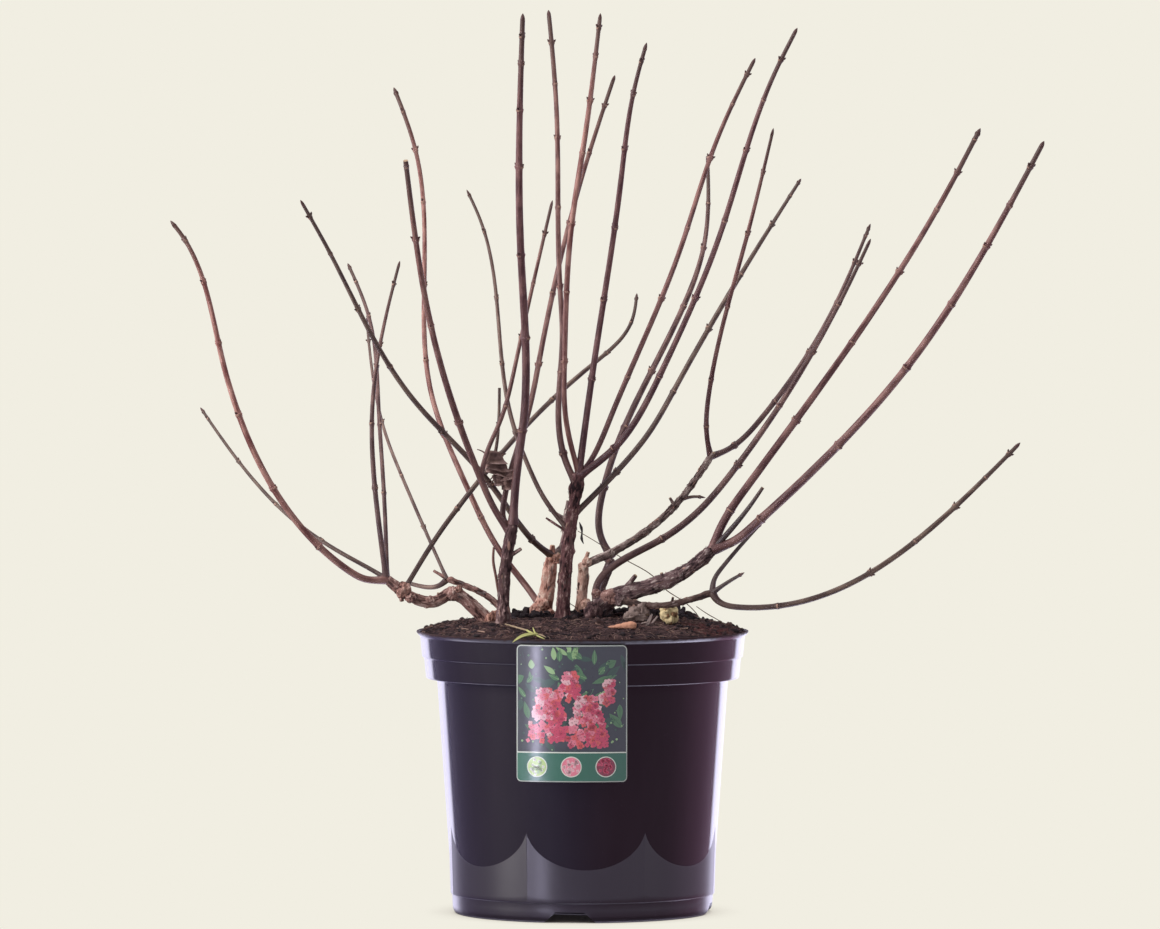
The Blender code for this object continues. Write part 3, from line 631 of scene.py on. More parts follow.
class Shape:
    """Points and faces of a mesh, in millimetres, with a finish for each face."""

    def __init__(self) -> None:
        """Start empty."""
        self.points: list[Array] = []
        self.faces: list[Array] = []
        self.marks: list[Array] = []
        self.traits: dict[str, list[Array]] = {}
        self.count = 0

    def add(
        self,
        points: Array,
        faces: Iterable[Array],
        mark: "int | Array" = 0,
        traits: Mapping[str, Array] | None = None,
    ) -> None:
        """Add a patch.

        Args:
            points: Points in rows.
            faces: Arrays of faces, each with one number of corners.
            mark: The finish's number, one for all faces or one for each.
            traits: Values of the mesh's own attributes, one row for each point.
        """
        faces = [np.asarray(group, dtype=np.int64) for group in faces if len(group)]
        total = sum(len(group) for group in faces)
        for name in set(self.traits) | set(traits or {}):
            kept = self.traits.setdefault(name, [])
            given = (traits or {}).get(name)
            if given is None:
                given = np.zeros((len(points),) + kept[0].shape[1:])
            elif not kept and self.count:
                kept.append(np.zeros((self.count,) + np.shape(given)[1:]))
            kept.append(np.asarray(given, dtype=float))
        self.faces.extend(group + self.count for group in faces)
        self.marks.append(np.broadcast_to(np.asarray(mark, dtype=np.int32), total))
        self.points.append(np.asarray(points, dtype=float))
        self.count += len(points)

    def add_tube(
        self,
        grid: Array,
        mark: "int | Array" = 0,
        traits: Mapping[str, Array] | None = None,
        end_mark: int | None = None,
    ) -> None:
        """Add a closed tube from rings of points, with a fan over each end.

        Args:
            grid: Points as (rings, around, 3), each ring turning left as seen from ahead.
            mark: The finish of its side faces, one number or one for each (ring, around).
            traits: Values as (rings, around) or (rings, around, parts).
            end_mark: The finish of the far end, where it is another one.
        """
        rings, around, _ = grid.shape
        index = np.arange(rings * around).reshape(rings, around)
        after = np.roll(index, -1, axis=1)
        sides = np.stack([index[:-1], after[:-1], after[1:], index[1:]], axis=-1).reshape(-1, 4)
        foot, tip = rings * around, rings * around + 1
        near = np.stack([after[0], index[0], np.full(around, foot)], axis=-1)
        far = np.stack([index[-1], after[-1], np.full(around, tip)], axis=-1)
        points = np.concatenate([grid.reshape(-1, 3), grid[0].mean(0)[None], grid[-1].mean(0)[None]])
        side_marks = np.broadcast_to(np.asarray(mark), (rings - 1, around)).reshape(-1)
        last = side_marks[-1] if end_mark is None else end_mark
        marks = np.concatenate([side_marks, np.full(around, side_marks[0]), np.full(around, last)])
        flat = {}
        for name, values in (traits or {}).items():
            rows = values.reshape((rings * around,) + values.shape[2:])
            flat[name] = np.concatenate([rows, rows[:1], rows[-1:]])
        self.add(points, [sides, near, far], marks, flat)

    def add_sheet(
        self,
        grid: Array,
        thickness: float,
        mark: int = 0,
        traits: Mapping[str, Array] | None = None,
    ) -> None:
        """Add a thin closed sheet.

        Args:
            grid: Points as (rows, columns, 3) of its middle surface.
            thickness: Its thickness in millimetres.
            mark: The finish's number.
            traits: Values as (rows, columns) or (rows, columns, parts).
        """
        rows, columns, _ = grid.shape
        across = np.gradient(grid, axis=1)
        along = np.gradient(grid, axis=0)
        lift = unit(np.cross(across, along)) * thickness / 2.0
        index = np.arange(rows * columns).reshape(rows, columns)
        top = np.stack([index[:-1, :-1], index[:-1, 1:], index[1:, 1:], index[1:, :-1]], axis=-1)
        top = top.reshape(-1, 4)
        bottom = top[:, ::-1] + rows * columns
        rim = np.concatenate([index[0, :-1], index[:-1, -1], index[-1, :0:-1], index[:0:-1, 0]])
        ahead = np.roll(rim, -1)
        edge = np.stack([ahead, rim, rim + rows * columns, ahead + rows * columns], axis=-1)
        points = np.concatenate([(grid + lift).reshape(-1, 3), (grid - lift).reshape(-1, 3)])
        flat = {}
        for name, values in (traits or {}).items():
            side = values.reshape((rows * columns,) + values.shape[2:])
            flat[name] = np.concatenate([side, side])
        self.add(points, [top, bottom, edge], mark, flat)

    def build(
        self,
        name: str,
        finishes: Sequence[bpy.types.Material],
        slot: str,
        stands_for: Sequence[str] = (),
        crease: float = 40.0,
    ) -> bpy.types.Object:
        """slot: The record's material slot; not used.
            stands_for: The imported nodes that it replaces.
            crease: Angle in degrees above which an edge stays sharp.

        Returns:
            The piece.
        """
        mesh = bpy.data.meshes.new(name)
        points = np.concatenate(self.points) * MM
        mesh.vertices.add(len(points))
        mesh.vertices.foreach_set("co", points.ravel())
        sizes = np.concatenate([np.full(len(group), group.shape[1]) for group in self.faces])
        corners = np.concatenate([group.ravel() for group in self.faces])
        mesh.loops.add(len(corners))
        mesh.loops.foreach_set("vertex_index", corners)
        mesh.polygons.add(len(sizes))
        mesh.polygons.foreach_set("loop_start", np.concatenate([[0], np.cumsum(sizes)[:-1]]))
        mesh.polygons.foreach_set("material_index", np.concatenate(self.marks))
        mesh.update(calc_edges=True)
        mesh.validate()
        for trait, groups in self.traits.items():
            values = np.concatenate(groups)
            kind = "FLOAT" if values.ndim == 1 else "FLOAT_VECTOR"
            made = mesh.attributes.new(trait, kind, "POINT")
            made.data.foreach_set("value" if values.ndim == 1 else "vector", values.ravel())
        mesh.shade_smooth()
        mesh.set_sharp_from_angle(angle=math.radians(crease))
        for finish in finishes:
            mesh.materials.append(finish)
        piece = bpy.data.objects.new(name, mesh)
        bpy.context.scene.collection.objects.link(piece)
        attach(piece, BODY)
        if stands_for:
            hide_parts(*stands_for)
        LOG.info("%s: %d faces, stands for %s", name, len(mesh.polygons), list(stands_for))
        return piece


def ovoid(foot: Array, axis: Array, length: float, width: float) -> Array:
    """Rings of a pointed bud.

    Args:
        foot: The middle of its foot.
        axis: The direction of its tip.
        length: Its length.
        width: Its greatest width.

    Returns:
        Points as (rings, around, 3).
    """
    share = np.array([0.0, 0.12, 0.3, 0.5, 0.7, 0.87, 1.0])
    radius = width / 2.0 * share ** 0.5 * (1.0 - share) ** 0.8 / 0.43
    radius[0], radius[-1] = width * 0.22, width * 0.03
    axis = unit(np.asarray(axis, dtype=float))
    side = unit(np.cross(axis, (0.31, 0.95, 0.12)))
    up = np.cross(axis, side)
    turn = np.linspace(0.0, 2.0 * math.pi, 9)[:-1]
    ring = np.cos(turn)[:, None] * side + np.sin(turn)[:, None] * up
    return foot + (share * length)[:, None, None] * axis + radius[:, None, None] * ring[None]


@dataclass(frozen=True)
class Route:
    """A smooth line, with a frame that turns along with it as little as it can."""

    points: Array
    marks: Array
    ahead: Array
    side: Array

    @classmethod
    def through(cls, places: Sequence[Sequence[float]], step: float = 2.0) -> "Route":
        """Lay the natural cubic curve through some places.

        Args:
            places: The places that it passes.
            step: Distance between its points.

        Returns:
            The route.
        """
        stops = np.array(places, dtype=float)
        spans = np.linalg.norm(np.diff(stops, axis=0), axis=1)
        system = np.eye(len(stops))
        pull = np.zeros_like(stops)
        for i in range(1, len(stops) - 1):
            system[i, i - 1:i + 2] = spans[i - 1], 2.0 * (spans[i - 1] + spans[i]), spans[i]
            pull[i] = 6.0 * ((stops[i + 1] - stops[i]) / spans[i] - (stops[i] - stops[i - 1]) / spans[i - 1])
        bends = np.linalg.solve(system, pull)
        line = []
        for i, span in enumerate(spans):
            for far in np.arange(0.0, span, step) / span:
                near = 1.0 - far
                line.append(near * stops[i] + far * stops[i + 1] + span ** 2 / 6.0 * (
                    (near ** 3 - near) * bends[i] + (far ** 3 - far) * bends[i + 1]))
        line.append(stops[-1])
        points = np.array(line)
        marks = np.concatenate(([0.0], np.cumsum(np.linalg.norm(np.diff(points, axis=0), axis=1))))
        ahead = unit(np.gradient(points, axis=0))
        side = np.zeros_like(points)
        carried = np.array((0.0, -1.0, 0.0)) if abs(ahead[0][1]) < 0.9 else np.array((1.0, 0.0, 0.0))
        for i, direction in enumerate(ahead):
            carried = unit(carried - direction * (carried @ direction))
            side[i] = carried
        return cls(points, marks, ahead, side)

    @property
    def length(self) -> float:
        """Length from end to end."""
        return float(self.marks[-1])

    def _along(self, values: Array, distance: Array) -> Array:
        """Values read off at distances."""
        return np.stack([np.interp(distance, self.marks, values[:, i]) for i in range(3)], axis=-1)

    def at(self, distance: "float | Array") -> tuple[Array, Array, Array, Array]:
        """The frame at distances along the line.

        Args:
            distance: One distance or many.

        Returns:
            The places and the directions ahead, to the side and up.
        """
        centre = self._along(self.points, distance)
        ahead = unit(self._along(self.ahead, distance))
        side = self._along(self.side, distance)
        side = unit(side - ahead * np.sum(side * ahead, axis=-1, keepdims=True))
        return centre, ahead, side, np.cross(ahead, side)

    def skin(self, distance: Array, radius: Array) -> Array:
        """Rings of points round the line.

        Args:
            distance: Where the rings lie.
            radius: Their radii as (rings, around).

        Returns:
            Points as (rings, around, 3).
        """
        centre, _, side, up = self.at(distance)
        turn = around(radius.shape[1])
        ring = np.cos(turn)[None, :, None] * side[:, None] + np.sin(turn)[None, :, None] * up[:, None]
        return centre[:, None] + radius[..., None] * ring


def strand(
    places: Sequence[Sequence[float]],
    widths: Sequence[float],
    sides: int = 5,
    rings: int = 12,
) -> Array:
    """Rings of a plain tapering strand.

    Args:
        places: The places that it passes.
        widths: Its widths, evenly spread from end to end.
        sides: Points in a ring.
        rings: How many rings there are.

    Returns:
        Points as (rings, around, 3).
    """
    route = Route.through(places, step=1.0)
    share = np.linspace(0.0, 1.0, rings)
    radius = 0.5 * np.interp(share, np.linspace(0.0, 1.0, len(widths)), widths)
    return route.skin(share * route.length, np.repeat(radius[:, None], sides, axis=1))


# --- Limbs ----------------------------------------------------------------------------------

SOIL = "soil"


@dataclass(frozen=True)
class Limb:
    """One tapering limb: what carries it, its widths spread from foot to tip, where it passes.

    A cane's nodes are distances from its foot, and a cane that was cut has no bud at its tip.
    """

    name: str
    on: str
    at: float
    thick: tuple[float, ...]
    tone: "CaneTone | WoodTone"
    through: tuple[Vec, ...]
    nodes: tuple[float, ...] = ()
    cut: bool = False

    def width(self, share: "float | Array") -> Array:
        """Width at a share of the limb's length."""
        return np.interp(share, np.linspace(0.0, 1.0, len(self.thick)), self.thick)


@dataclass(frozen=True)
class Spur:
    """A short dead spur on a limb."""

    on: str
    at: float
    reach: Vec
    thick: float


@dataclass(frozen=True)
class Knot:
    """A knotty swelling on old wood, where shoots were cut back year after year."""

    on: str
    at: float
    toward: Vec
    height: float
    reach: float
    pale: float = 0.7


OLD_WOOD = (
    Limb("stem_front", SOIL, 0.0, (10.9, 8.4), WoodTone.DARK,
         ((-66, -50, 239), (-65, -54, 286), (-58, -58, 329))),
    Limb("stem_tan", SOIL, 0.0, (17.0, 8.4), WoodTone.TAN,
         ((-38, 2, 240), (-29, 1, 275), (-26, 0, 300))),
    Limb("stem_middle", SOIL, 0.0, (11.5, 9.3), WoodTone.BLACK,
         ((-17, -20, 240), (-15, -22, 279), (-3, -26, 370))),
    Limb("stem_back", SOIL, 0.0, (8.4, 6.7), WoodTone.DUSK,
         ((6, 32, 240), (17, 35, 274), (25, 38, 296))),
    Limb("stem_pale", SOIL, 0.0, (9.3, 7.6), WoodTone.PALE,
         ((-3, 9, 240), (0, 6, 274), (1, 4, 294))),
    Limb("stem_right", SOIL, 0.0, (17.0, 9.3), WoodTone.DUSK,
         ((9, -20, 239), (16, -25, 258), (52, -36, 274), (93, -52, 294), (109, -60, 308))),
    Limb("stem_left", SOIL, 0.0, (12.6, 7.6), WoodTone.BROWN,
         ((-72, -30, 238), (-96, -36, 263), (-111, -39, 270), (-119, -41, 265),
          (-144, -45, 268), (-164, -50, 283))),
    Limb("stem_left_thin", SOIL, 0.0, (5.9, 4.2), WoodTone.BROWN,
         ((-60, -9, 239), (-69, -8, 256), (-114, -4, 280))),
    Limb("bough_middle", "stem_tan", 1.0, (6.7, 5.0), WoodTone.ASH,
         ((-19, 5, 304), (-14, 13, 321), (-13, 20, 338))),
    Limb("bough_pale", "stem_pale", 0.97, (6.7, 5.0), WoodTone.ASH,
         ((22, 6, 301), (48, 8, 316), (80, 11, 344), (108, 14, 383))),
    Limb("bough_low", "stem_right", 0.25, (5.6, 5.0), WoodTone.OLIVE,
         ((64, -62, 261), (108, -86, 273))),
)

CANES = (
    Limb("front_cane_1", "stem_front", 1.0, (7.0, 6.6, 5.9, 4.0), CaneTone.MAUVE,
         ((-55, -64, 369), (-49, -71, 416), (-51, -102, 554), (-49, -150, 752)),
         nodes=(80, 159, 230, 305, 353, 392, 415)),
    Limb("front_cane_2", "stem_front", 0.9, (5.5, 5.5, 4.95, 4.1), CaneTone.RUSSET,
         ((-72, -59, 339), (-85, -64, 367), (-127, -141, 506), (-144, -207.4, 631)),
         nodes=(108, 207, 290, 357), cut=True),
    Limb("front_cane_3", "stem_front", 0.94, (4.9, 4.7, 4.2, 3.3), CaneTone.RUSSET,
         ((-66, -53, 333), (-66, -51, 345), (-46, -28, 419), (-37, 2, 461), (6, 135, 640), (28, 170, 707)),
         nodes=(80, 158, 235, 312, 385, 433)),
    Limb("front_cane_4", "front_cane_2", 0.15, (4.0, 3.6, 3.2, 2.6), CaneTone.RUSSET,
         ((-80, -59, 388), (-69, -55, 414), (-56, -53, 462), (-25, -60, 599)),
         nodes=(65, 124, 170, 212)),
    Limb("left_cane_1", "stem_left", 0.99, (6.0, 5.4, 4.7, 3.4), CaneTone.ROSE,
         ((-182, -54, 283), (-195, -58, 290), (-300, -72, 468), (-335, -67, 572), (-343, -66, 582)),
         nodes=(68, 130, 198, 260, 312, 350)),
    Limb("left_cane_2", "stem_left", 0.99, (3.8, 3.5, 2.9, 2.4), CaneTone.OLIVE,
         ((-171, -45, 287), (-195, -38, 300), (-237, -16, 326), (-325, 70, 423)),
         nodes=(68, 125, 182, 236)),
    Limb("left_cane_3", "stem_left", 1.0, (4.6, 4.2, 3.2, 2.5), CaneTone.DUSK,
         ((-168, -52, 313), (-176, -31, 425), (-154, 20, 548)),
         nodes=(77, 132, 202, 258)),
    Limb("left_cane_4", "stem_left", 0.99, (3.7, 3.6, 3.4, 2.8), CaneTone.DUSK,
         ((-167, -5, 353), (-173, 52, 425), (-182, 109, 497), (-202, 150, 545)),
         nodes=(84, 156, 218, 272, 312)),
    Limb("left_cane_5", "stem_left_thin", 1.0, (3.0, 3.0, 2.8, 2.2), CaneTone.GREY,
         ((-155, 76, 367), (-169, 117, 400), (-188, 230, 497)),
         nodes=(60, 122, 195, 250, 300)),
    Limb("left_cane_6", "stem_left", 0.84, (4.2, 4.3, 4.3, 2.7), CaneTone.OLIVE,
         ((-115, -16, 327), (-99, -5, 348), (8, 118, 458), (42, 152, 494), (47, 170, 519)),
         nodes=(90, 157, 240, 318, 359)),
    Limb("left_twig", "stem_left_thin", 1.0, (4.2, 4.2, 3.8, 3.4), CaneTone.GREY,
         ((-120, 3, 275), (-145, 26, 275)), cut=True),
    Limb("crossing_cane", "stem_tan", 1.0, (5.4, 4.6, 4.1, 2.9), CaneTone.OLIVE,
         ((-42, -21, 314), (-78, -40, 363), (-136, -64, 427), (-208, -143, 556), (-231, -170, 599)),
         nodes=(31, 92, 155, 230, 292, 351, 390)),
    Limb("crossing_stub", "left_cane_6", 0.37, (3.0, 2.5), CaneTone.OLIVE,
         ((-73, 13, 389), (-70, 10, 441)),
         nodes=(35,), cut=True),
    Limb("rear_left_cane", "stem_tan", 0.22, (5.6, 4.6, 4.0, 3.5), CaneTone.ROSE,
         ((-38, 8, 260), (-66, 25, 297), (-99, 39, 359), (-130, 75, 441), (-135, 95, 526),
          (-143, 124, 642), (-162, 140, 696)),
         nodes=(100, 180, 250, 316, 388, 435, 471)),
    Limb("middle_cane_1", "stem_middle", 0.98, (6.0, 5.0, 4.7, 3.2), CaneTone.MAUVE,
         ((10, -40, 465), (32, -80, 616), (42, -98, 687), (53, -110, 729)),
         nodes=(84, 153, 216, 284, 331, 360)),
    Limb("middle_cane_2", "stem_middle", 0.92, (5.8, 4.5, 4.3, 3.8), CaneTone.RUSSET,
         ((-14, -23, 380), (-17, 1, 481), (-19, 15, 527), (-22, 63, 675), (-29, 90, 761)),
         nodes=(30, 100, 175, 245, 307, 355, 392)),
    Limb("middle_cane_3", "stem_middle", 1.0, (4.4, 4.6, 4.8, 3.4), CaneTone.ROSE,
         ((-14, -38, 417), (-15, -44, 465), (-9, -42, 579), (1, -42, 645), (15, -40, 755)),
         nodes=(98, 156, 213, 273, 317, 354, 378)),
    Limb("middle_cane_4", "stem_middle", 0.98, (6.3, 4.9, 4.6, 3.3), CaneTone.MAUVE,
         ((28, -37, 393), (64, -56, 452), (113, -98, 568), (156, -145, 699), (176, -160, 740)),
         nodes=(40, 115, 190, 263, 327, 373, 410)),
    Limb("middle_cane_5", "stem_middle", 0.98, (4.8, 4.5, 4.2, 3.3), CaneTone.WINE,
         ((3, -23, 375), (22, -17, 413), (82, 27, 556), (114, 57, 650), (147, 80, 720)),
         nodes=(95, 170, 237, 302, 354, 383)),
    Limb("middle_cane_6", "stem_middle", 0.72, (5.0, 4.7, 4.4, 2.9), CaneTone.OLIVE,
         ((16, -16, 358), (53, 9, 399), (77, 47, 437), (119, 115, 508), (190, 220, 618)),
         nodes=(55, 155, 235, 303, 369, 407)),
    Limb("middle_cane_7", "stem_middle", 0.62, (4.2, 3.8, 3.2, 2.5), CaneTone.GREY,
         ((-34, -18, 352), (-42, -16, 368), (-60, -8, 417), (-87, 34, 584), (-98, 40, 608)),
         nodes=(97, 157, 214, 273)),
    Limb("back_cane", "stem_back", 1.0, (6.1, 5.5, 4.8, 3.0), CaneTone.DUSK,
         ((15, 41, 316), (17, 43, 351), (38, 79, 411), (87, 152, 508), (105, 188, 559), (109, 238.6, 637)),
         nodes=(63, 125, 190, 263, 327, 373), cut=True),
    Limb("right_cane_1", "bough_pale", 1.0, (4.3, 3.8, 3.6, 2.6), CaneTone.WINE,
         ((105, 10, 399), (107, 4, 440), (138, -38, 571), (159, -60, 659)),
         nodes=(27, 67, 133, 200, 254)),
    Limb("right_cane_2", "bough_pale", 1.0, (4.8, 4.5, 3.6, 2.8), CaneTone.DUSK,
         ((121, 17, 388), (152, 26, 416), (216, 87, 511), (247, 130, 579)),
         nodes=(23, 75, 132, 190, 233, 261)),
    Limb("right_cane_3", "stem_right", 0.12, (6.5, 5.7, 4.6, 2.8), CaneTone.DUSK,
         ((11, -22, 269), (66, -10, 314), (126, -13, 371), (222, -74, 530), (239, -90, 567)),
         nodes=(92, 182, 245, 301, 350, 390)),
    Limb("right_cane_4", "stem_right", 1.0, (7.1, 5.8, 5.0, 3.9), CaneTone.WINE,
         ((111, -59, 315), (138, -54, 361), (306, 30, 603), (337, 50, 660)),
         nodes=(36, 130, 213, 289, 354, 392, 425)),
    Limb("right_cane_5", "stem_right", 1.0, (7.6, 6.7, 5.9, 3.9), CaneTone.WINE,
         ((128, -66, 316), (139, -70, 325), (268, -129, 462), (376, -200, 647)),
         nodes=(50, 143, 233, 300, 358, 398, 435)),
    Limb("right_twig", "stem_right", 1.0, (4.8, 4.6, 3.7, 2.9), CaneTone.DARK,
         ((139, -72, 344), (150, -76, 360)), cut=True),
    Limb("low_cane_1", "bough_low", 1.0, (4.3, 3.6, 3.2, 2.6), CaneTone.DARK,
         ((109, -80, 282), (116, -72, 293), (151, -44, 331))),
    Limb("low_cane_2", "bough_low", 1.0, (3.7, 3.4, 3.0, 2.4), CaneTone.DARK,
         ((120, -98, 282), (134, -112, 291))),
    Limb("low_cane_3", "bough_low", 1.0, (5.0, 4.8, 4.6, 3.3), CaneTone.OLIVE,
         ((110, -87, 269), (133, -92, 261), (297, -85, 333), (365, -60, 397)),
         nodes=(60, 142, 188, 233, 269, 298)),
    Limb("pale_twig", "bough_pale", 0.69, (2.9, 2.2), CaneTone.OLIVE,
         ((95, 18, 349), (104, 22, 348))),
)

SPURS = (
    Spur("stem_front", 0.68, (12, -3, 8), 3.8),
    Spur("stem_front", 0.42, (-4, -3, 7), 2.6),
    Spur("stem_left", 0.57, (1, -3, 7), 2.6),
    Spur("stem_left_thin", 0.96, (-14, 6, 8), 3.2),
    Spur("stem_left", 0.86, (1, -3, -9), 4.6),
    Spur("stem_tan", 0.98, (1, -2, 10), 5.5),
    Spur("stem_tan", 0.90, (7, -3, 8), 3.6),
    Spur("stem_middle", 0.97, (5.5, -2, 27), 3.4),
    Spur("stem_middle", 0.61, (-20, 4, 13), 2.4),
    Spur("stem_middle", 0.70, (-3.5, -2, 9), 3.0),
    Spur("stem_pale", 0.96, (4, -2, 11), 4.0),
    Spur("stem_pale", 0.80, (-3, -5, 5), 3.2),
    Spur("stem_right", 0.30, (13.5, -8, 17), 4.8),
    Spur("stem_right", 0.60, (-2, -3, 8), 3.4),
    Spur("stem_back", 0.90, (-6, 4, 7), 3.2),
    Spur("bough_middle", 0.80, (-15, 2, 9), 3.4),
    Spur("bough_middle", 0.97, (1, 0, 9), 3.8),
    Spur("bough_pale", 0.64, (-4, -2, 7), 3.0),
    Spur("bough_pale", 0.97, (5, -5, 7), 3.6),
    Spur("bough_low", 0.62, (1, -2, 6), 2.6),
)

KNOTS = (
    Knot("stem_front", 0.04, (-1, -0.6, 0), 2.6, 8.0),
    Knot("stem_front", 0.93, (-0.6, -1, 0), 1.6, 9.0, 0.1),
    Knot("stem_front", 0.70, (1, -0.4, 0), 1.2, 5.0, 0.1),
    Knot("stem_tan", 0.26, (-0.8, -0.7, 0.2), 1.8, 6.0),
    Knot("stem_tan", 0.95, (0, -1, 0), 1.6, 7.0),
    Knot("stem_middle", 0.93, (1, -0.7, 0), 1.6, 9.0, 0.1),
    Knot("stem_middle", 0.90, (-1, -0.2, 0), 1.2, 8.0, 0.1),
    Knot("stem_middle", 0.60, (1, 0.2, 0), 0.9, 4.0, 0.9),
    Knot("stem_middle", 0.05, (1, -0.6, 0), 2.0, 9.0, 0.2),
    Knot("stem_pale", 0.16, (1, -0.8, 0), 2.0, 8.0),
    Knot("stem_back", 0.94, (-0.6, -1, 0), 1.6, 6.0, 0.4),
    Knot("stem_right", 0.58, (0, -0.5, 1), 1.4, 6.0, 0.1),
    Knot("stem_right", 0.63, (0, -0.7, -1), 1.6, 6.0, 0.1),
    Knot("stem_right", 0.96, (0, -1, 0.3), 2.0, 8.0, 0.1),
    Knot("stem_left", 0.42, (-0.2, -0.8, -0.6), 1.8, 6.0, 0.4),
    Knot("stem_left_thin", 0.95, (0, -0.4, 1), 1.6, 5.0, 0.4),
    Knot("bough_pale", 0.40, (0, -0.6, -1), 0.9, 5.0, 0.2),
    Knot("bough_pale", 0.97, (0.4, -0.8, 0.4), 1.4, 6.0, 0.2),
    Knot("bough_middle", 0.85, (0.3, -1, 0.2), 1.2, 6.0, 0.3),
    Knot("bough_low", 0.95, (0, -0.8, 0.6), 1.2, 6.0, 0.2),
)


@dataclass(frozen=True)
class Burl:
    """A gnarled lump that stands on old wood where shoots were cut back year after year."""

    on: str
    middle: Vec
    half: Vec
    tone: WoodTone
    pale: float = 0.0
    rough: float = 0.8


BURLS = (
    Burl("stem_left", (-75, -39, 246.0), (7.2, 5.8, 9.6), WoodTone.BROWN, 0.5, 1.2),
    Burl("stem_left", (-79, -33, 246.0), (6.0, 5.5, 5.5), WoodTone.BROWN, 0.3),
    Burl("stem_left", (-150.0, -49, 273.0), (7.2, 5.4, 7.6), WoodTone.BROWN, 0.4, 1.2),
    Burl("stem_left", (-144, -49, 267.5), (5.2, 4.8, 4.8), WoodTone.BROWN, 0.3),
    Burl("stem_left", (-109, -41, 270.0), (6.4, 5.2, 6.4), WoodTone.BROWN, 0.2, 1.2),
    Burl("stem_left", (-104, -42, 273.5), (4.2, 4.2, 3.8), WoodTone.BROWN, 0.4),
    Burl("stem_left", (-128, -45, 264.0), (4.6, 4.0, 4.2), WoodTone.BROWN, 0.0),
    Burl("stem_tan", (-37.5, -4, 252.0), (7.6, 6.0, 8.4), WoodTone.TAN, 0.2, 1.2),
    Burl("stem_tan", (-28, -8, 249.0), (7.4, 5.5, 7.0), WoodTone.TAN, 0.3, 1.2),
    Burl("stem_tan", (-33, -7, 259.0), (5.2, 4.6, 5.2), WoodTone.TAN, 0.1),
    Burl("stem_tan", (-22, -4.5, 297.5), (4.8, 3.8, 4.2), WoodTone.BROWN, 0.5, 1.0),
    Burl("stem_pale", (3.6, -1, 294.0), (4.4, 4.0, 4.2), WoodTone.PALE, 0.2),
    Burl("stem_pale", (2.8, 4, 258.0), (5.0, 4.6, 6.2), WoodTone.PALE, 0.3),
    Burl("stem_middle", (-4.6, -26, 361.0), (5.4, 5.0, 8.4), WoodTone.ASH, 0.35, 0.5),
    Burl("stem_right", (9.0, -35, 254.0), (8.0, 7.0, 9.8), WoodTone.DARK, 0.0, 0.3),
    Burl("stem_right", (24.5, -32, 266.5), (10.4, 6.6, 7.6), WoodTone.BROWN, 0.2, 0.8),
    Burl("stem_right", (31.0, -36, 265.0), (5.4, 4.6, 6.2), WoodTone.DUSK),
    Burl("stem_right", (11.5, -27, 270.0), (4.0, 3.8, 4.2), WoodTone.BROWN, 0.1),
    Burl("stem_right", (80, -51, 286.0), (4.6, 4.6, 4.4), WoodTone.DUSK),
    Burl("bough_pale", (24, 4, 302.0), (3.4, 3.2, 3.0), WoodTone.ASH),
)


class Skeleton:
    """The course of every limb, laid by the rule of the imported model."""

    def __init__(self, limbs: Iterable[Limb]) -> None:
        """Lay the limbs, each from the one that carries it."""
        self.routes: dict[str, Route] = {}
        for limb in limbs:
            places = list(limb.through)
            if limb.on != SOIL:
                parent = self.routes[limb.on]
                places.insert(0, tuple(parent.at(limb.at * parent.length)[0]))
            self.routes[limb.name] = Route.through(places)


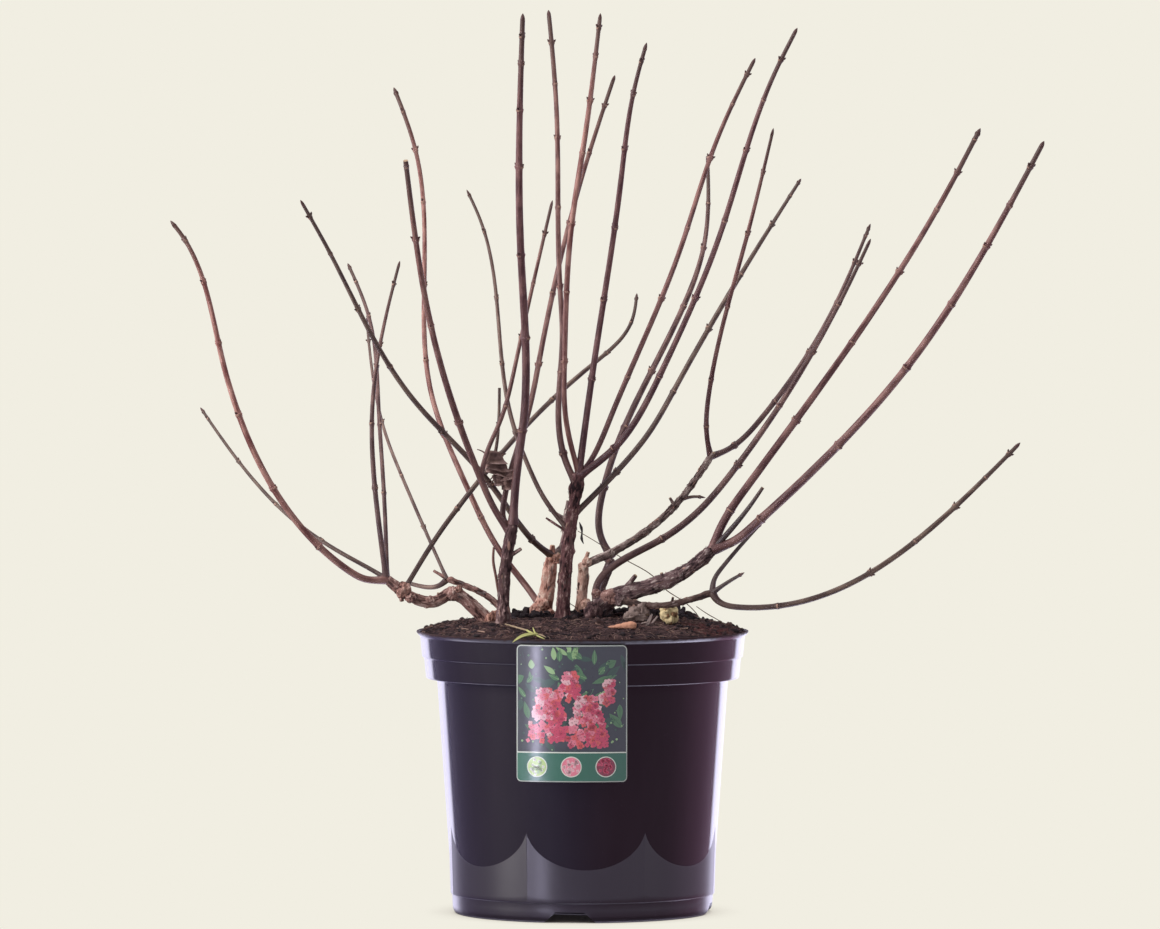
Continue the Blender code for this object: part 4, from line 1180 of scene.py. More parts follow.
@dataclass
class OldStems:
    """Old stems and boughs with the relief of their bark, their knots, spurs and flakes."""

    skeleton: Skeleton
    spacing: float = 0.68
    fewest: int = 34
    step: float = 0.6
    station: float = 11.0
    foot_flare: float = 0.25
    knuckle: float = 1.16
    buried: float = 4.0
    lump_depth: float = 0.10
    plate_depth: float = 0.26
    crack_depth: float = 0.55
    crack_width: float = 0.16
    strand_depth: float = 0.20
    fullness: float = 0.16
    grain_shift: float = 60.0
    scar_gap: tuple[float, float] = (11.0, 30.0)
    spur_rings: int = 24
    spur_sides: int = 20
    spur_relief: float = 0.45
    nub_gap: float = 5.5
    flakes_each_mm: float = 0.42
    seed: int = 11
    flakes: Shape = field(default_factory=Shape)

    def build(self, limbs: Iterable[Limb]) -> None:
        """Make every old limb, and the loose flakes that all of them share.

        Args:
            limbs: The stems and boughs.
        """
        tones = {tone: tone.value.material() for tone in WoodTone}
        pith = PITH.material()
        for number, limb in enumerate(limbs):
            self._grow(limb, number, [tones[limb.tone], pith, *tones.values()])
        colours = (Speck("flake_pale", tint(164, 128, 116)), Speck("flake_brown", tint(92, 66, 62)),
                   Speck("flake_grey", tint(118, 102, 100)))
        self.flakes.build("bark_flakes", [c.material() for c in colours], "old_wood", crease=70.0)

    def girth(self, limb: Limb, route: Route, along: Array) -> Array:
        """Radius of the limb before its relief.

        Args:
            limb: The limb.
            route: Its course.
            along: Distances from its foot.

        Returns:
            The radii.
        """
        count = max(3, int(route.length // self.station))
        share = np.ones(count + 1)
        if limb.on == SOIL:
            share[:2] += self.foot_flare * np.array([1.0, 0.5])
        share[count - 1] = self.knuckle
        stations = np.linspace(0.0, route.length, count + 1)
        return 0.5 * limb.width(along / route.length) * np.interp(along, stations, share)

    def columns(self, limb: Limb) -> int:
        """Number of points round a limb: more round a thick one."""
        return max(self.fewest, int(math.pi * float(limb.width(0.3)) / self.spacing))

    def _relief(self, limb: Limb, route: Route, number: int, along: Array) -> tuple[Array, dict[str, Array]]:
        """Radius and attributes of the bark at each point of its rings.

        Args:
            limb: The limb.
            route: Its course.
            number: Its place in the order, which seeds its grain.
            along: Distances of the rings from its foot.

        Returns:
            Radii as (rings, around), and attributes for the finish.
        """
        base = self.girth(limb, route, along)[:, None]
        turn = around(self.columns(limb))[None]
        grain = triples(base * np.cos(turn), base * np.sin(turn), along[:, None] + self.grain_shift * number)
        noise = Grain(self.seed + 7 * number)
        random = np.random.default_rng(self.seed + number)
        lumps = noise.layers(grain * (1.0, 1.0, 0.7), 8.0, 2)
        bark, level = self.bark(grain, noise)
        scars, nubs = np.zeros_like(base), np.zeros_like(bark)
        spot = random.uniform(*self.scar_gap)
        while spot < route.length:
            scars = scars + random.uniform(0.4, 1.0) * np.exp(-((along[:, None] - spot) / 0.5) ** 2)
            spot += random.uniform(*self.scar_gap)
        for _ in range(int(route.length / self.nub_gap)):
            spot, toward = random.uniform(0.0, route.length), random.uniform(0.0, 2.0 * math.pi)
            reach, height = random.uniform(0.8, 2.4), random.uniform(0.4, 1.4)
            swing = apart(turn, toward) * base
            away = ((along[:, None] - spot) / reach) ** 2 + (swing / reach / 0.8) ** 2
            nubs = nubs + height * np.exp(-away)
        knots, pale = self._knots(limb, route, along, turn)
        soft = np.minimum(1.0, base / 4.5)
        radius = base * (1.0 + self.lump_depth * lumps) + (bark + self.fullness) * soft + nubs * soft
        radius = radius + 0.30 * scars * (0.5 + 0.5 * noise.at(grain, 3.0)) + knots
        level = np.clip(level + 0.18 * nubs + 0.12 * scars, 0.0, 1.0)
        return radius, {"grain": grain, "relief": level, "knot": pale}

    def bark(self, grain: Array, noise: Grain) -> tuple[Array, Array]:
        """Height of the bark over its wood: long cracks between plates, and fine strands.

        Args:
            grain: Points in millimetres, with the grain along their third axis.
            noise: The limb's own noise.

        Returns:
            The height in millimetres and its level from 0 to 1.
        """
        strips = noise.layers(grain * (1.0, 1.0, 0.25), 2.3, 3, 0.6)
        broken = np.clip(0.7 + 1.3 * noise.at(grain * (1.0, 1.0, 0.6) + 40.0, 5.0), 0.0, 1.0)
        cracks = broken * np.exp(-(strips / self.crack_width) ** 2)
        plates = np.tanh(3.0 * noise.layers(grain * (1.0, 1.0, 0.5), 2.8, 2))
        strands = noise.layers(grain * (1.0, 1.0, 0.2), 1.1, 2)
        height = self.plate_depth * plates - self.crack_depth * cracks + self.strand_depth * strands
        return height, 0.54 + 0.18 * plates - 0.50 * cracks + 0.24 * strands

    @staticmethod
    def _knots(limb: Limb, route: Route, along: Array, turn: Array) -> tuple[Array, Array]:
        """Heights and paleness of the limb's knots over its rings."""
        height = np.zeros((len(along), turn.shape[1]))
        pale = np.zeros_like(height)
        for knot in (each for each in KNOTS if each.on == limb.name):
            spot = knot.at * route.length
            _, _, side, up = route.at(spot)
            toward = math.atan2(np.dot(knot.toward, up), np.dot(knot.toward, side))
            swing = apart(turn, toward)
            width = knot.reach / (0.5 * float(limb.width(0.5))) * 0.55
            shape = np.exp(-((along[:, None] - spot) / (0.55 * knot.reach)) ** 2 - (swing / width) ** 2)
            height = height + knot.height * shape
            pale = np.maximum(pale, knot.pale * shape)
        return height, pale

    def _grow(self, limb: Limb, number: int, finishes: list[bpy.types.Material]) -> None:
        """Make one limb with its spurs and burls and scatter its flakes.

        Args:
            limb: The limb.
            number: Its place in the order.
            finishes: Its own bark, the pith of cut ends, and the bark of each tone.
        """
        route = self.skeleton.routes[limb.name]
        start = -self.buried if limb.on == SOIL else 0.0
        along = np.arange(start, route.length + self.step, self.step)
        along[-1] = route.length
        radius, traits = self._relief(limb, route, number, along)
        radius[-4:] *= np.array([0.96, 0.88, 0.74, 0.5])[:, None]
        grid = route.skin(along, radius)
        if start < 0.0:
            drop = np.minimum(along, 0.0)
            grid[..., 2] += drop[:, None]
        shape = Shape()
        shape.add_tube(grid, 0, traits)
        for spur in (each for each in SPURS if each.on == limb.name):
            self._add_spur(shape, spur, route, number)
        for index, burl in enumerate(each for each in BURLS if each.on == limb.name):
            self._add_burl(shape, burl, Grain(self.seed + 50 * number + index))
        shape.build(limb.name + "_bark", finishes, "old_wood", [limb.name], crease=75.0)
        self._add_flakes(route, along, radius, number)

    def _add_burl(self, shape: Shape, burl: Burl, noise: Grain) -> None:
        """Add a burl to its limb.

        Args:
            shape: The limb's shape.
            burl: The burl.
            noise: Its own noise.
        """
        ball = globe(np.linspace(math.pi - 0.05, 0.05, 30)[:, None], 44)
        half = np.array(burl.half)
        grain = ball * half * (1.0, 1.0, 2.2)
        bark, level = self.bark(grain, noise)
        swell = 1.0 + 0.30 * noise.layers(ball, 0.9, 3, 0.65) - 0.22 * np.abs(noise.at(ball, 0.45))
        gnarl = (burl.rough * bark)[..., None]
        grid = ball * half * swell[..., None] + ball * gnarl + np.array(burl.middle)
        traits = {"grain": grain, "relief": np.clip(level, 0.0, 1.0), "knot": np.full_like(level, burl.pale)}
        shape.add_tube(grid, 2 + list(WoodTone).index(burl.tone), traits)

    def _add_spur(self, shape: Shape, spur: Spur, route: Route, number: int) -> None:
        """Add a spur with a cut end to its limb.

        Args:
            shape: The limb's shape.
            spur: The spur.
            route: The limb's course.
            number: The limb's place in the order.
        """
        foot = route.at(spur.at * route.length)[0]
        reach = np.array(spur.reach, dtype=float)
        line = Route.through([foot, foot + 0.5 * reach, foot + reach], step=1.0)
        along = np.linspace(0.0, line.length, self.spur_rings)
        taper = np.interp(along / line.length, (0.0, 0.35, 0.6, 1.0), (1.5, 1.05, 0.9, 0.8))
        base = 0.5 * spur.thick * taper
        turn = around(self.spur_sides)[None]
        base = base[:, None]
        grain = triples(base * np.cos(turn), base * np.sin(turn),
                        along[:, None] + self.grain_shift * number + 500.0 * spur.at)
        bark, level = self.bark(grain, Grain(self.seed + number))
        radius = base + self.spur_relief * bark
        radius[-1] *= 0.88
        traits = {"grain": grain, "relief": np.clip(level, 0.0, 1.0), "knot": np.full_like(level, 0.15)}
        shape.add_tube(line.skin(along, radius), 0, traits, end_mark=1)

    def _add_flakes(self, route: Route, along: Array, radius: Array, number: int) -> None:
        """Scatter loose flakes of bark, each held at one end.

        Args:
            route: The limb's course.
            along: Distances of its rings.
            radius: Radii of its rings.
            number: Its place in the order.
        """
        random = np.random.default_rng(self.seed * 31 + number)
        for _ in range(int(route.length * self.flakes_each_mm)):
            spot, turn = random.uniform(2.0, route.length - 6.0), random.uniform(0.0, 2.0 * math.pi)
            length, width = random.uniform(2.0, 6.5), random.uniform(0.7, 1.9)
            lift = random.uniform(0.2, 1.0)
            share = np.linspace(0.0, 1.0, 5)
            place = spot + share * length * random.choice((-1.0, 1.0))
            place = np.clip(place, 0.5, route.length - 0.5)
            centre, _, side, up = route.at(place)
            ring = np.clip(np.searchsorted(along, place), 0, len(along) - 1)
            column = int(turn / (2.0 * math.pi) * radius.shape[1]) % radius.shape[1]
            reach = radius[ring, column] + 0.05 + lift * share ** 1.6
            half = 0.5 * width * np.array([0.7, 1.0, 0.95, 0.7, 0.25]) / radius[ring, column]
            swing = turn + np.stack([-half, np.zeros(5), half], axis=1)
            grid = centre[:, None] + (reach[:, None] * np.ones(3))[..., None] * (
                np.cos(swing)[..., None] * side[:, None] + np.sin(swing)[..., None] * up[:, None])
            self.flakes.add_sheet(grid, 0.22, int(random.integers(0, 3)))


@dataclass
class YoungCanes:
    """Last summer's canes: smooth bark, swollen nodes with scars, paired buds, pointed tips."""

    skeleton: Skeleton
    sides: int = 16
    step: float = 2.8
    fine_step: float = 0.5
    tip_length: float = 8.0
    bud_length: float = 3.2
    bud_width: float = 2.0
    swellings: tuple[Vec, ...] = ((0.13, 0.0, 2.4), (0.09, 0.05, 0.42), (-0.06, 1.1, 0.5))
    shoulder: float = 0.30
    foot_swell: float = 0.34
    scar_reach: float = 3.4
    seed: int = 5

    def build(self, limbs: Iterable[Limb]) -> None:
        """Make every cane.

        Args:
            limbs: The canes.
        """
        tones = {tone: tone.value.material() for tone in CaneTone}
        extras = [SCAR.material(), BUD.material(), PITH.material()]
        for number, limb in enumerate(limbs):
            self._grow(limb, number, [tones[limb.tone], *extras])

    def _grow(self, limb: Limb, number: int, finishes: list[bpy.types.Material]) -> None:
        """Make one cane.

        Args:
            limb: The cane.
            number: Its place in the order.
            finishes: Bark, scar, bud and pith.
        """
        route = self.skeleton.routes[limb.name]
        random = np.random.default_rng(self.seed + 13 * number)
        nodes = limb.nodes
        first = random.uniform(0.0, math.pi)
        planes = [first + 0.5 * math.pi * i + random.normal(0.0, 0.12) for i in range(len(nodes))]
        end = route.length if limb.cut else route.length - 0.72 * self.tip_length
        along = self._stations(nodes, end)
        radius, scar, traits = self._skin(limb, route, number, along, nodes, planes)
        marks = (0.25 * (scar[:-1] + scar[1:] + np.roll(scar, -1, 1)[:-1] + np.roll(scar, -1, 1)[1:]) > 0.5)
        shape = Shape()
        shape.add_tube(route.skin(along, radius), marks.astype(np.int32), traits,
                       end_mark=3 if limb.cut else 0)
        girth = 0.5 * limb.width(np.array(nodes) / route.length)
        for i, (node, plane, around_node) in enumerate(zip(nodes, planes, girth)):
            self._add_pair(shape, route, node, plane, around_node, i / max(1, len(nodes) - 1), random)
        if not limb.cut:
            self._add_tip(shape, route, limb, planes)
        shape.build(limb.name + "_bark", finishes, "young_cane", [limb.name], crease=60.0)

    def _stations(self, nodes: Sequence[float], end: float) -> Array:
        """Distances of a cane's rings: close together near its nodes.

        Args:
            nodes: Distances of its nodes.
            end: Distance of its last ring.

        Returns:
            The distances in rising order.
        """
        places = [np.arange(0.0, end, self.step), [end]]
        for node in nodes:
            last = min(node + self.scar_reach, end)
            places.append(np.arange(node - self.scar_reach, last, self.fine_step))
        merged = np.unique(np.round(np.concatenate(places), 3))
        keep = np.concatenate([[True], np.diff(merged) > 0.16])
        keep[-1] = True
        return merged[keep]

    def _skin(
        self, limb: Limb, route: Route, number: int, along: Array,
        nodes: Sequence[float], planes: Sequence[float],
    ) -> tuple[Array, Array, dict[str, Array]]:
        """Radius, scar mask and attributes at each point of a cane's rings.

        Args:
            limb: The cane.
            route: Its course.
            number: Its place in the order.
            along: Distances of its rings.
            nodes: Distances of its nodes.
            planes: Direction of each node's pair of buds.

        Returns:
            Radii and scars as (rings, around), and attributes for the finish.
        """
        turn = around(self.sides)[None]
        base = 0.5 * limb.width(along / route.length)[:, None]
        base = base * (1.0 + self.foot_swell * np.exp(-(along[:, None] / 7.5) ** 2))
        grain = triples(3.0 * np.cos(turn), 3.0 * np.sin(turn), along[:, None] + 97.0 * number)
        noise = Grain(self.seed + 3 * number)
        growth = np.ones((len(along), self.sides)) + 0.035 * noise.layers(grain * (1.0, 1.0, 0.2), 4.0, 2)
        scar = np.zeros_like(growth)
        for node, plane in zip(nodes, planes):
            away = along[:, None] - node
            lobe = np.abs(np.cos(turn - plane)) ** 3
            for height, middle, reach in self.swellings:
                growth = growth + height * np.exp(-((away - middle) / reach) ** 2)
            growth = growth + self.shoulder * lobe * np.exp(-((away + 0.6) / 1.3) ** 2)
            crescent = (lobe > 0.30) & (away > -1.9 + 1.2 * (1.0 - lobe)) & (away < -0.30)
            ring = (np.abs(away - 0.05) < 0.25) & (noise.at(grain, 2.6) > 0.1)
            scar = np.maximum(scar, np.where(crescent | ring, 1.0, 0.0))
        age = np.broadcast_to((along / route.length)[:, None], growth.shape)
        return base * growth, scar, {"grain": grain, "age": age}

    def _add_pair(
        self, shape: Shape, route: Route, node: float, plane: float, girth: float,
        age: float, random: np.random.Generator,
    ) -> None:
        """Add the two buds of a node, pressed against the cane.

        Args:
            shape: The cane's shape.
            route: Its course.
            node: The node's distance.
            plane: Direction of the pair.
            girth: The cane's radius there.
            age: How far up the cane the node is, from 0 to 1.
            random: The cane's random numbers.
        """
        centre, ahead, side, up = route.at(node + 0.5)
        size = (0.62 + 0.16 * girth) * random.uniform(0.8, 1.15) * (1.0 - 0.3 * (1.0 - age))
        for turn in (plane, plane + math.pi):
            out = math.cos(turn) * side + math.sin(turn) * up
            axis = ahead + out * random.uniform(0.55, 1.0)
            foot = centre + out * girth * 0.95
            shape.add_tube(ovoid(foot, axis, self.bud_length * size, self.bud_width * size), 2)

    def _add_tip(self, shape: Shape, route: Route, limb: Limb, planes: Sequence[float]) -> None:
        """Add the pointed bud at the tip with the two scales that hold it.

        Args:
            shape: The cane's shape.
            route: Its course.
            limb: The cane.
            planes: Directions of its pairs of buds.
        """
        start = route.length - self.tip_length
        foot, _, side, up = route.at(start)
        tip = route.points[-1]
        last_width = limb.thick[-1]
        length = float(np.linalg.norm(tip - foot))
        shape.add_tube(ovoid(foot, tip - foot, length, last_width * 1.04), 2)
        last = (planes[-1] if planes else 0.0) + 0.5 * math.pi
        for turn in (last, last + math.pi):
            out = math.cos(turn) * side + math.sin(turn) * up
            base = foot + out * last_width * 0.34
            axis = (tip - foot) + out * 1.6
            shape.add_tube(ovoid(base, axis, self.tip_length * 0.5, last_width * 0.42), 2)


# --- Pot ------------------------------------------------------------------------------------

@dataclass
class NurseryPot:
    """Moulded pot: flared lip, two bands, tapering wall, scalloped skirt, foot ring and drains."""

    band_top_z: float = 232.0
    band_radius: float = 136.5
    band_draft: float = 0.095
    band_step_z: float = 214.9
    band_step: float = 1.6
    band_foot_z: float = 197.3
    wall_top_radius: float = 122.4
    wall_foot_radius: float = 109.8
    wall_thickness: float = 1.8
    foot_ring_z: float = 16.0
    foot_ring_width: float = 8.0
    floor_z: float = 11.0
    channel_z: float = 8.0
    pad_radius: float = 38.0
    core_radius: float = 12.0
    panels: int = 7
    panel_turn: float = 1.5
    skirt_draft: float = 0.030
    skirt_radius: float = 110.9
    skirt_ridge: float = 1.2
    skirt_arc: float = 0.98
    arches: int = 4
    arch_turn: float = -5.7
    arch_widths: tuple[float, float] = (24.0, 40.0)
    arch_height: float = 8.6
    drains: int = 8
    drain_radius: float = 5.0
    drain_circle: float = 72.0
    columns_per_panel: int = 44
    wall_rows: int = 18
    wall_finish: PotPlastic = PotPlastic("pot_plastic_gloss", 0.035)
    # Painted sheen: this satin copy's paler colour and streak stand in for the sheen of the rougher skirt
    # and foot ring.
    skirt_finish: PotPlastic = PotPlastic("pot_plastic_satin", 0.28, tint(32, 25, 31), tint(38, 31, 37))
    crease: float = 32.0
    lip: tuple[tuple[float, float], ...] = (
        (138.3, 236.6), (138.75, 236.92), (139.2, 237.0), (139.58, 236.85), (139.78, 236.5),
        (139.76, 236.05), (139.45, 235.5), (138.6, 234.5), (137.7, 233.5), (137.2, 233.05),
        (136.88, 232.8), (136.62, 232.5), (136.52, 232.1), (136.46, 231.5),
    )

    def build(self) -> None:
        """Make the moulded shell and open its drains."""
        grid = self._grid()
        shape = Shape()
        rows, columns, _ = grid.shape
        index = np.arange(rows * columns).reshape(rows, columns)
        after = np.roll(index, -1, axis=1)
        sides = np.stack([index[:-1], index[1:], after[1:], after[:-1]], axis=-1).reshape(-1, 4)
        top, foot = rows * columns, rows * columns + 1
        first = np.stack([np.full(columns, top), index[0], after[0]], axis=-1)
        last = np.stack([np.full(columns, foot), after[-1], index[-1]], axis=-1)
        ends = np.array([[0.0, 0.0, self.floor_z], [0.0, 0.0, 0.0]])
        satin = np.repeat(np.arange(rows - 1) >= self.satin_row, columns)
        marks = np.concatenate([satin, np.zeros(columns), np.ones(columns)]).astype(np.int32)
        shape.add(np.concatenate([grid.reshape(-1, 3), ends]), [sides, first, last], marks)
        finishes = [self.wall_finish.material(), self.skirt_finish.material()]
        shell = shape.build("pot_shell", finishes, "pot_plastic", ["pot"], crease=self.crease)
        self._open_drains(shell)

    def band(self, height: Array) -> Array:
        """Outer radius of the two bands at a height."""
        radius = self.band_radius - self.band_draft * (self.band_top_z - np.asarray(height))
        return radius - np.where(np.asarray(height) < self.band_step_z, self.band_step, 0.0)

    def wall(self, height: Array) -> Array:
        """Outer radius of the tapering wall at a height."""
        share = (np.asarray(height) - self.foot_ring_z) / (self.band_foot_z - self.foot_ring_z)
        return self.wall_foot_radius + share * (self.wall_top_radius - self.wall_foot_radius)

    def ridge(self, across: Array) -> Array:
        """How far the skirt stands out, from 0 in a panel's middle to full at its edge."""
        full = 1.0 - math.sqrt(1.0 - self.skirt_arc ** 2)
        return self.skirt_ridge * (1.0 - np.sqrt(1.0 - (self.skirt_arc * across) ** 2)) / full

    def _on_bands(self, *heights: float) -> list[tuple[float, float]]:
        """Points on the outside of the bands at some heights."""
        return [(float(self.band(height)), height) for height in heights]

    def _lip_and_bands(self) -> list[tuple[float, float]]:
        """The outside from the lip down to the head of the wall, with its moulded edges."""
        step, foot = self.band_step_z, self.band_foot_z
        above, below = float(self.band(step + 0.6)), float(self.band(step - 0.8))
        low, wall = float(self.band(foot + 1.0)), float(self.wall(foot - 2.0))
        return [
            *self.lip, *self._on_bands(226.0, 220.0, step + 2.4), (above + 0.06, step + 1.5),
            (above - 0.02, step + 1.05), (above - 0.20, step + 0.62), (above - 0.50, step + 0.28),
            (above - 0.90, step + 0.08), (below + 0.34, step), (below + 0.12, step - 0.14),
            (below, step - 0.5), (below - 0.04, step - 1.2), *self._on_bands(208.0, 202.0, foot + 2.6),
            (low + 0.08, foot + 1.6), (low, foot + 1.1), (low - 0.18, foot + 0.66),
            (low - 0.48, foot + 0.30), (low - 0.90, foot + 0.08), (low - 1.40, foot),
            (wall + 1.6, foot - 0.15), (wall + 0.8, foot - 0.3), (wall + 0.35, foot - 0.6),
            (wall + 0.14, foot - 1.1), (wall, foot - 2.0),
        ]

    def _foot(self) -> list[tuple[float, float]]:
        """The outside of the foot ring, the channel under the floor and the middle pad."""
        outer, inner = self.wall_foot_radius, self.wall_foot_radius - self.foot_ring_width
        top, channel, pad = self.foot_ring_z, self.channel_z, self.pad_radius
        return [
            (outer + 0.35, top - 0.22), (outer + 0.08, top - 0.5), (outer, top - 1.0),
            (outer - 0.25, 10.0), (outer - 0.5, 4.5), (outer - 0.8, 2.8), (outer - 1.4, 1.4),
            (outer - 2.1, 0.5), (outer - 3.2, 0.0), (inner + 1.0, 0.0), (inner + 0.3, 0.3),
            (inner, 1.0), (inner, channel), (pad + 30.0, channel), (pad, channel),
            (pad, 0.8), (pad - 0.8, 0.0), (self.core_radius, 0.0),
        ]

    def _inside(self) -> list[tuple[float, float]]:
        """The hollow, from the floor up to the lip's inner edge."""
        inset = self.wall_thickness
        near_floor = float(self.wall(self.floor_z)) - inset
        return [
            (self.core_radius, self.floor_z), (60.0, self.floor_z), (85.0, self.floor_z),
            (near_floor - 3.0, self.floor_z), (near_floor, self.floor_z + 3.0),
            (float(self.wall(self.band_foot_z)) - inset, self.band_foot_z + 0.8),
            (float(self.band(self.band_foot_z)) - inset - 0.7, self.band_foot_z + inset),
            (self.band_radius - inset, self.band_top_z), (self.band_radius - inset + 0.3, 233.0),
            (137.2, 235.4),
        ]

    @property
    def satin_row(self) -> int:
        """Number of the first row of faces with the satin finish."""
        return len(self._inside()) + len(self._lip_and_bands()) + self.wall_rows

    def _columns(self) -> tuple[Array, Array]:
        """Angles of the columns, with a tight pair at each ridge, and their places across a panel."""
        even = np.linspace(-1.0, 1.0, self.columns_per_panel + 1)[1:-1]
        across = np.unique(np.concatenate([[-1.0, -0.988], even, [0.988]]))
        half = math.pi / self.panels
        first = math.radians(self.panel_turn)
        angles = [first + 2.0 * half * k + half * across for k in range(self.panels)]
        return np.concatenate(angles), np.tile(np.abs(across), self.panels)

    def _grid(self) -> Array:
        """Every ring of the shell, with rows that follow the scalloped edge of the skirt."""
        angles, across = self._columns()
        out = self.ridge(across)
        slope = (self.wall_top_radius - self.wall_foot_radius) / (self.band_foot_z - self.foot_ring_z)
        stands_out = self.skirt_radius + out - self.wall_foot_radius
        crest = self.foot_ring_z + stands_out / (slope - self.skirt_draft)
        rows = self._level(angles, self._inside() + self._lip_and_bands())
        head = self.band_foot_z - 2.0
        for share in np.linspace(0.0, 1.0, self.wall_rows + 1)[1:]:
            height = head + (crest + 0.35 - head) * share
            rows.append((self.wall(height), height))
        skirt = self.skirt_radius - self.skirt_draft * self.foot_ring_z
        rows.append((self.wall(crest) - 0.004, crest))
        for share in np.linspace(0.0, 1.0, 11):
            height = crest - 0.35 + (self.foot_ring_z + 0.9 - crest + 0.35) * share
            rows.append((skirt + self.skirt_draft * height + out, height))
        low = skirt + self.skirt_draft * self.foot_ring_z + out
        for inward, up in ((0.06, 0.45), (0.28, 0.12), (0.6, 0.0)):
            rows.append((low - inward, np.full_like(angles, self.foot_ring_z + up)))
        rows += self._level(angles, self._foot())
        radius, height = (np.array(values) for values in zip(*rows))
        return np.stack([radius * np.sin(angles), -radius * np.cos(angles), height], axis=-1)

    @staticmethod
    def _level(angles: Array, profile: Sequence[tuple[float, float]]) -> list[tuple[Array, Array]]:
        """Turn a profile's points into level rings over the columns."""
        return [(np.full_like(angles, radius), np.full_like(angles, height)) for radius, height in profile]

    def _open_drains(self, shell: bpy.types.Object) -> None:
        """Cut the arches through the foot ring and the round holes through the floor.

        Args:
            shell: The pot's piece.
        """
        cutters = bmesh.new()
        top_width, foot_width = self.arch_widths
        for index in range(self.drains):
            turn = (index + 0.5) * 2.0 * math.pi / self.drains
            made = bmesh.ops.create_cone(
                cutters, cap_ends=True, segments=40, radius1=self.drain_radius * MM,
                radius2=self.drain_radius * MM, depth=12.0 * MM)
            middle = Vector((math.cos(turn), math.sin(turn), 0.0)) * self.drain_circle * MM
            bmesh.ops.translate(cutters, verts=made["verts"], vec=middle + Vector((0.0, 0.0, 9.5 * MM)))
        for index in range(self.arches):
            turn = math.radians(self.arch_turn) + index * 2.0 * math.pi / self.arches
            outward = Vector((math.sin(turn), -math.cos(turn), 0.0))
            sideways = Vector((math.cos(turn), math.sin(turn), 0.0))
            made = bmesh.ops.create_cube(cutters, size=1.0)
            for vertex in made["verts"]:
                at_top = vertex.co.z > 0.0
                width = top_width if at_top else foot_width * (1.0 + 1.0 / self.arch_height)
                reach = self.wall_foot_radius + vertex.co.y * 24.0
                place = outward * reach + sideways * vertex.co.x * width
                place.z = self.arch_height if at_top else -1.0
                vertex.co = place * MM
        mesh = bpy.data.meshes.new("drain_cutters")
        bmesh.ops.recalc_face_normals(cutters, faces=cutters.faces)
        cutters.to_mesh(mesh)
        cutters.free()
        tool = bpy.data.objects.new("drain_cutters", mesh)
        bpy.context.scene.collection.objects.link(tool)
        cut = shell.modifiers.new("drains", "BOOLEAN")
        cut.operation = "DIFFERENCE"
        cut.solver = "EXACT"
        cut.object = tool
        bpy.context.view_layer.update()
        opened = bpy.data.meshes.new_from_object(shell.evaluated_get(bpy.context.evaluated_depsgraph_get()))
        shell.modifiers.clear()
        shell.data = opened
        opened.shade_smooth()
        opened.set_sharp_from_angle(angle=math.radians(self.crease))
        bpy.data.objects.remove(tool)
        LOG.info("pot_shell: drains opened, %d faces", len(opened.polygons))


# --- Label ----------------------------------------------------------------------------------

class Ink(IntEnum):
    """The inks of the print, in the order of its marks."""

    GROUND = 0
    LEAF_DEEP = 1
    LEAF = 2
    LEAF_PALE = 3
    BAND = 4
    ROSE = 5
    PINK = 6
    BLUSH = 7
    WINE = 8
    LIME = 9
    WHITE = 10
    SHADE = 11
    CORAL = 12


INK_SHADES = {
    Ink.GROUND: (16, 30, 26), Ink.LEAF_DEEP: (22, 66, 42), Ink.LEAF: (70, 118, 70),
    Ink.LEAF_PALE: (150, 186, 128), Ink.BAND: (8, 96, 66), Ink.ROSE: (206, 66, 98),
    Ink.PINK: (232, 128, 148), Ink.BLUSH: (246, 196, 204), Ink.WINE: (126, 22, 44),
    Ink.LIME: (176, 204, 120), Ink.WHITE: (226, 232, 220), Ink.SHADE: (9, 14, 14),
    Ink.CORAL: (222, 92, 92),
}


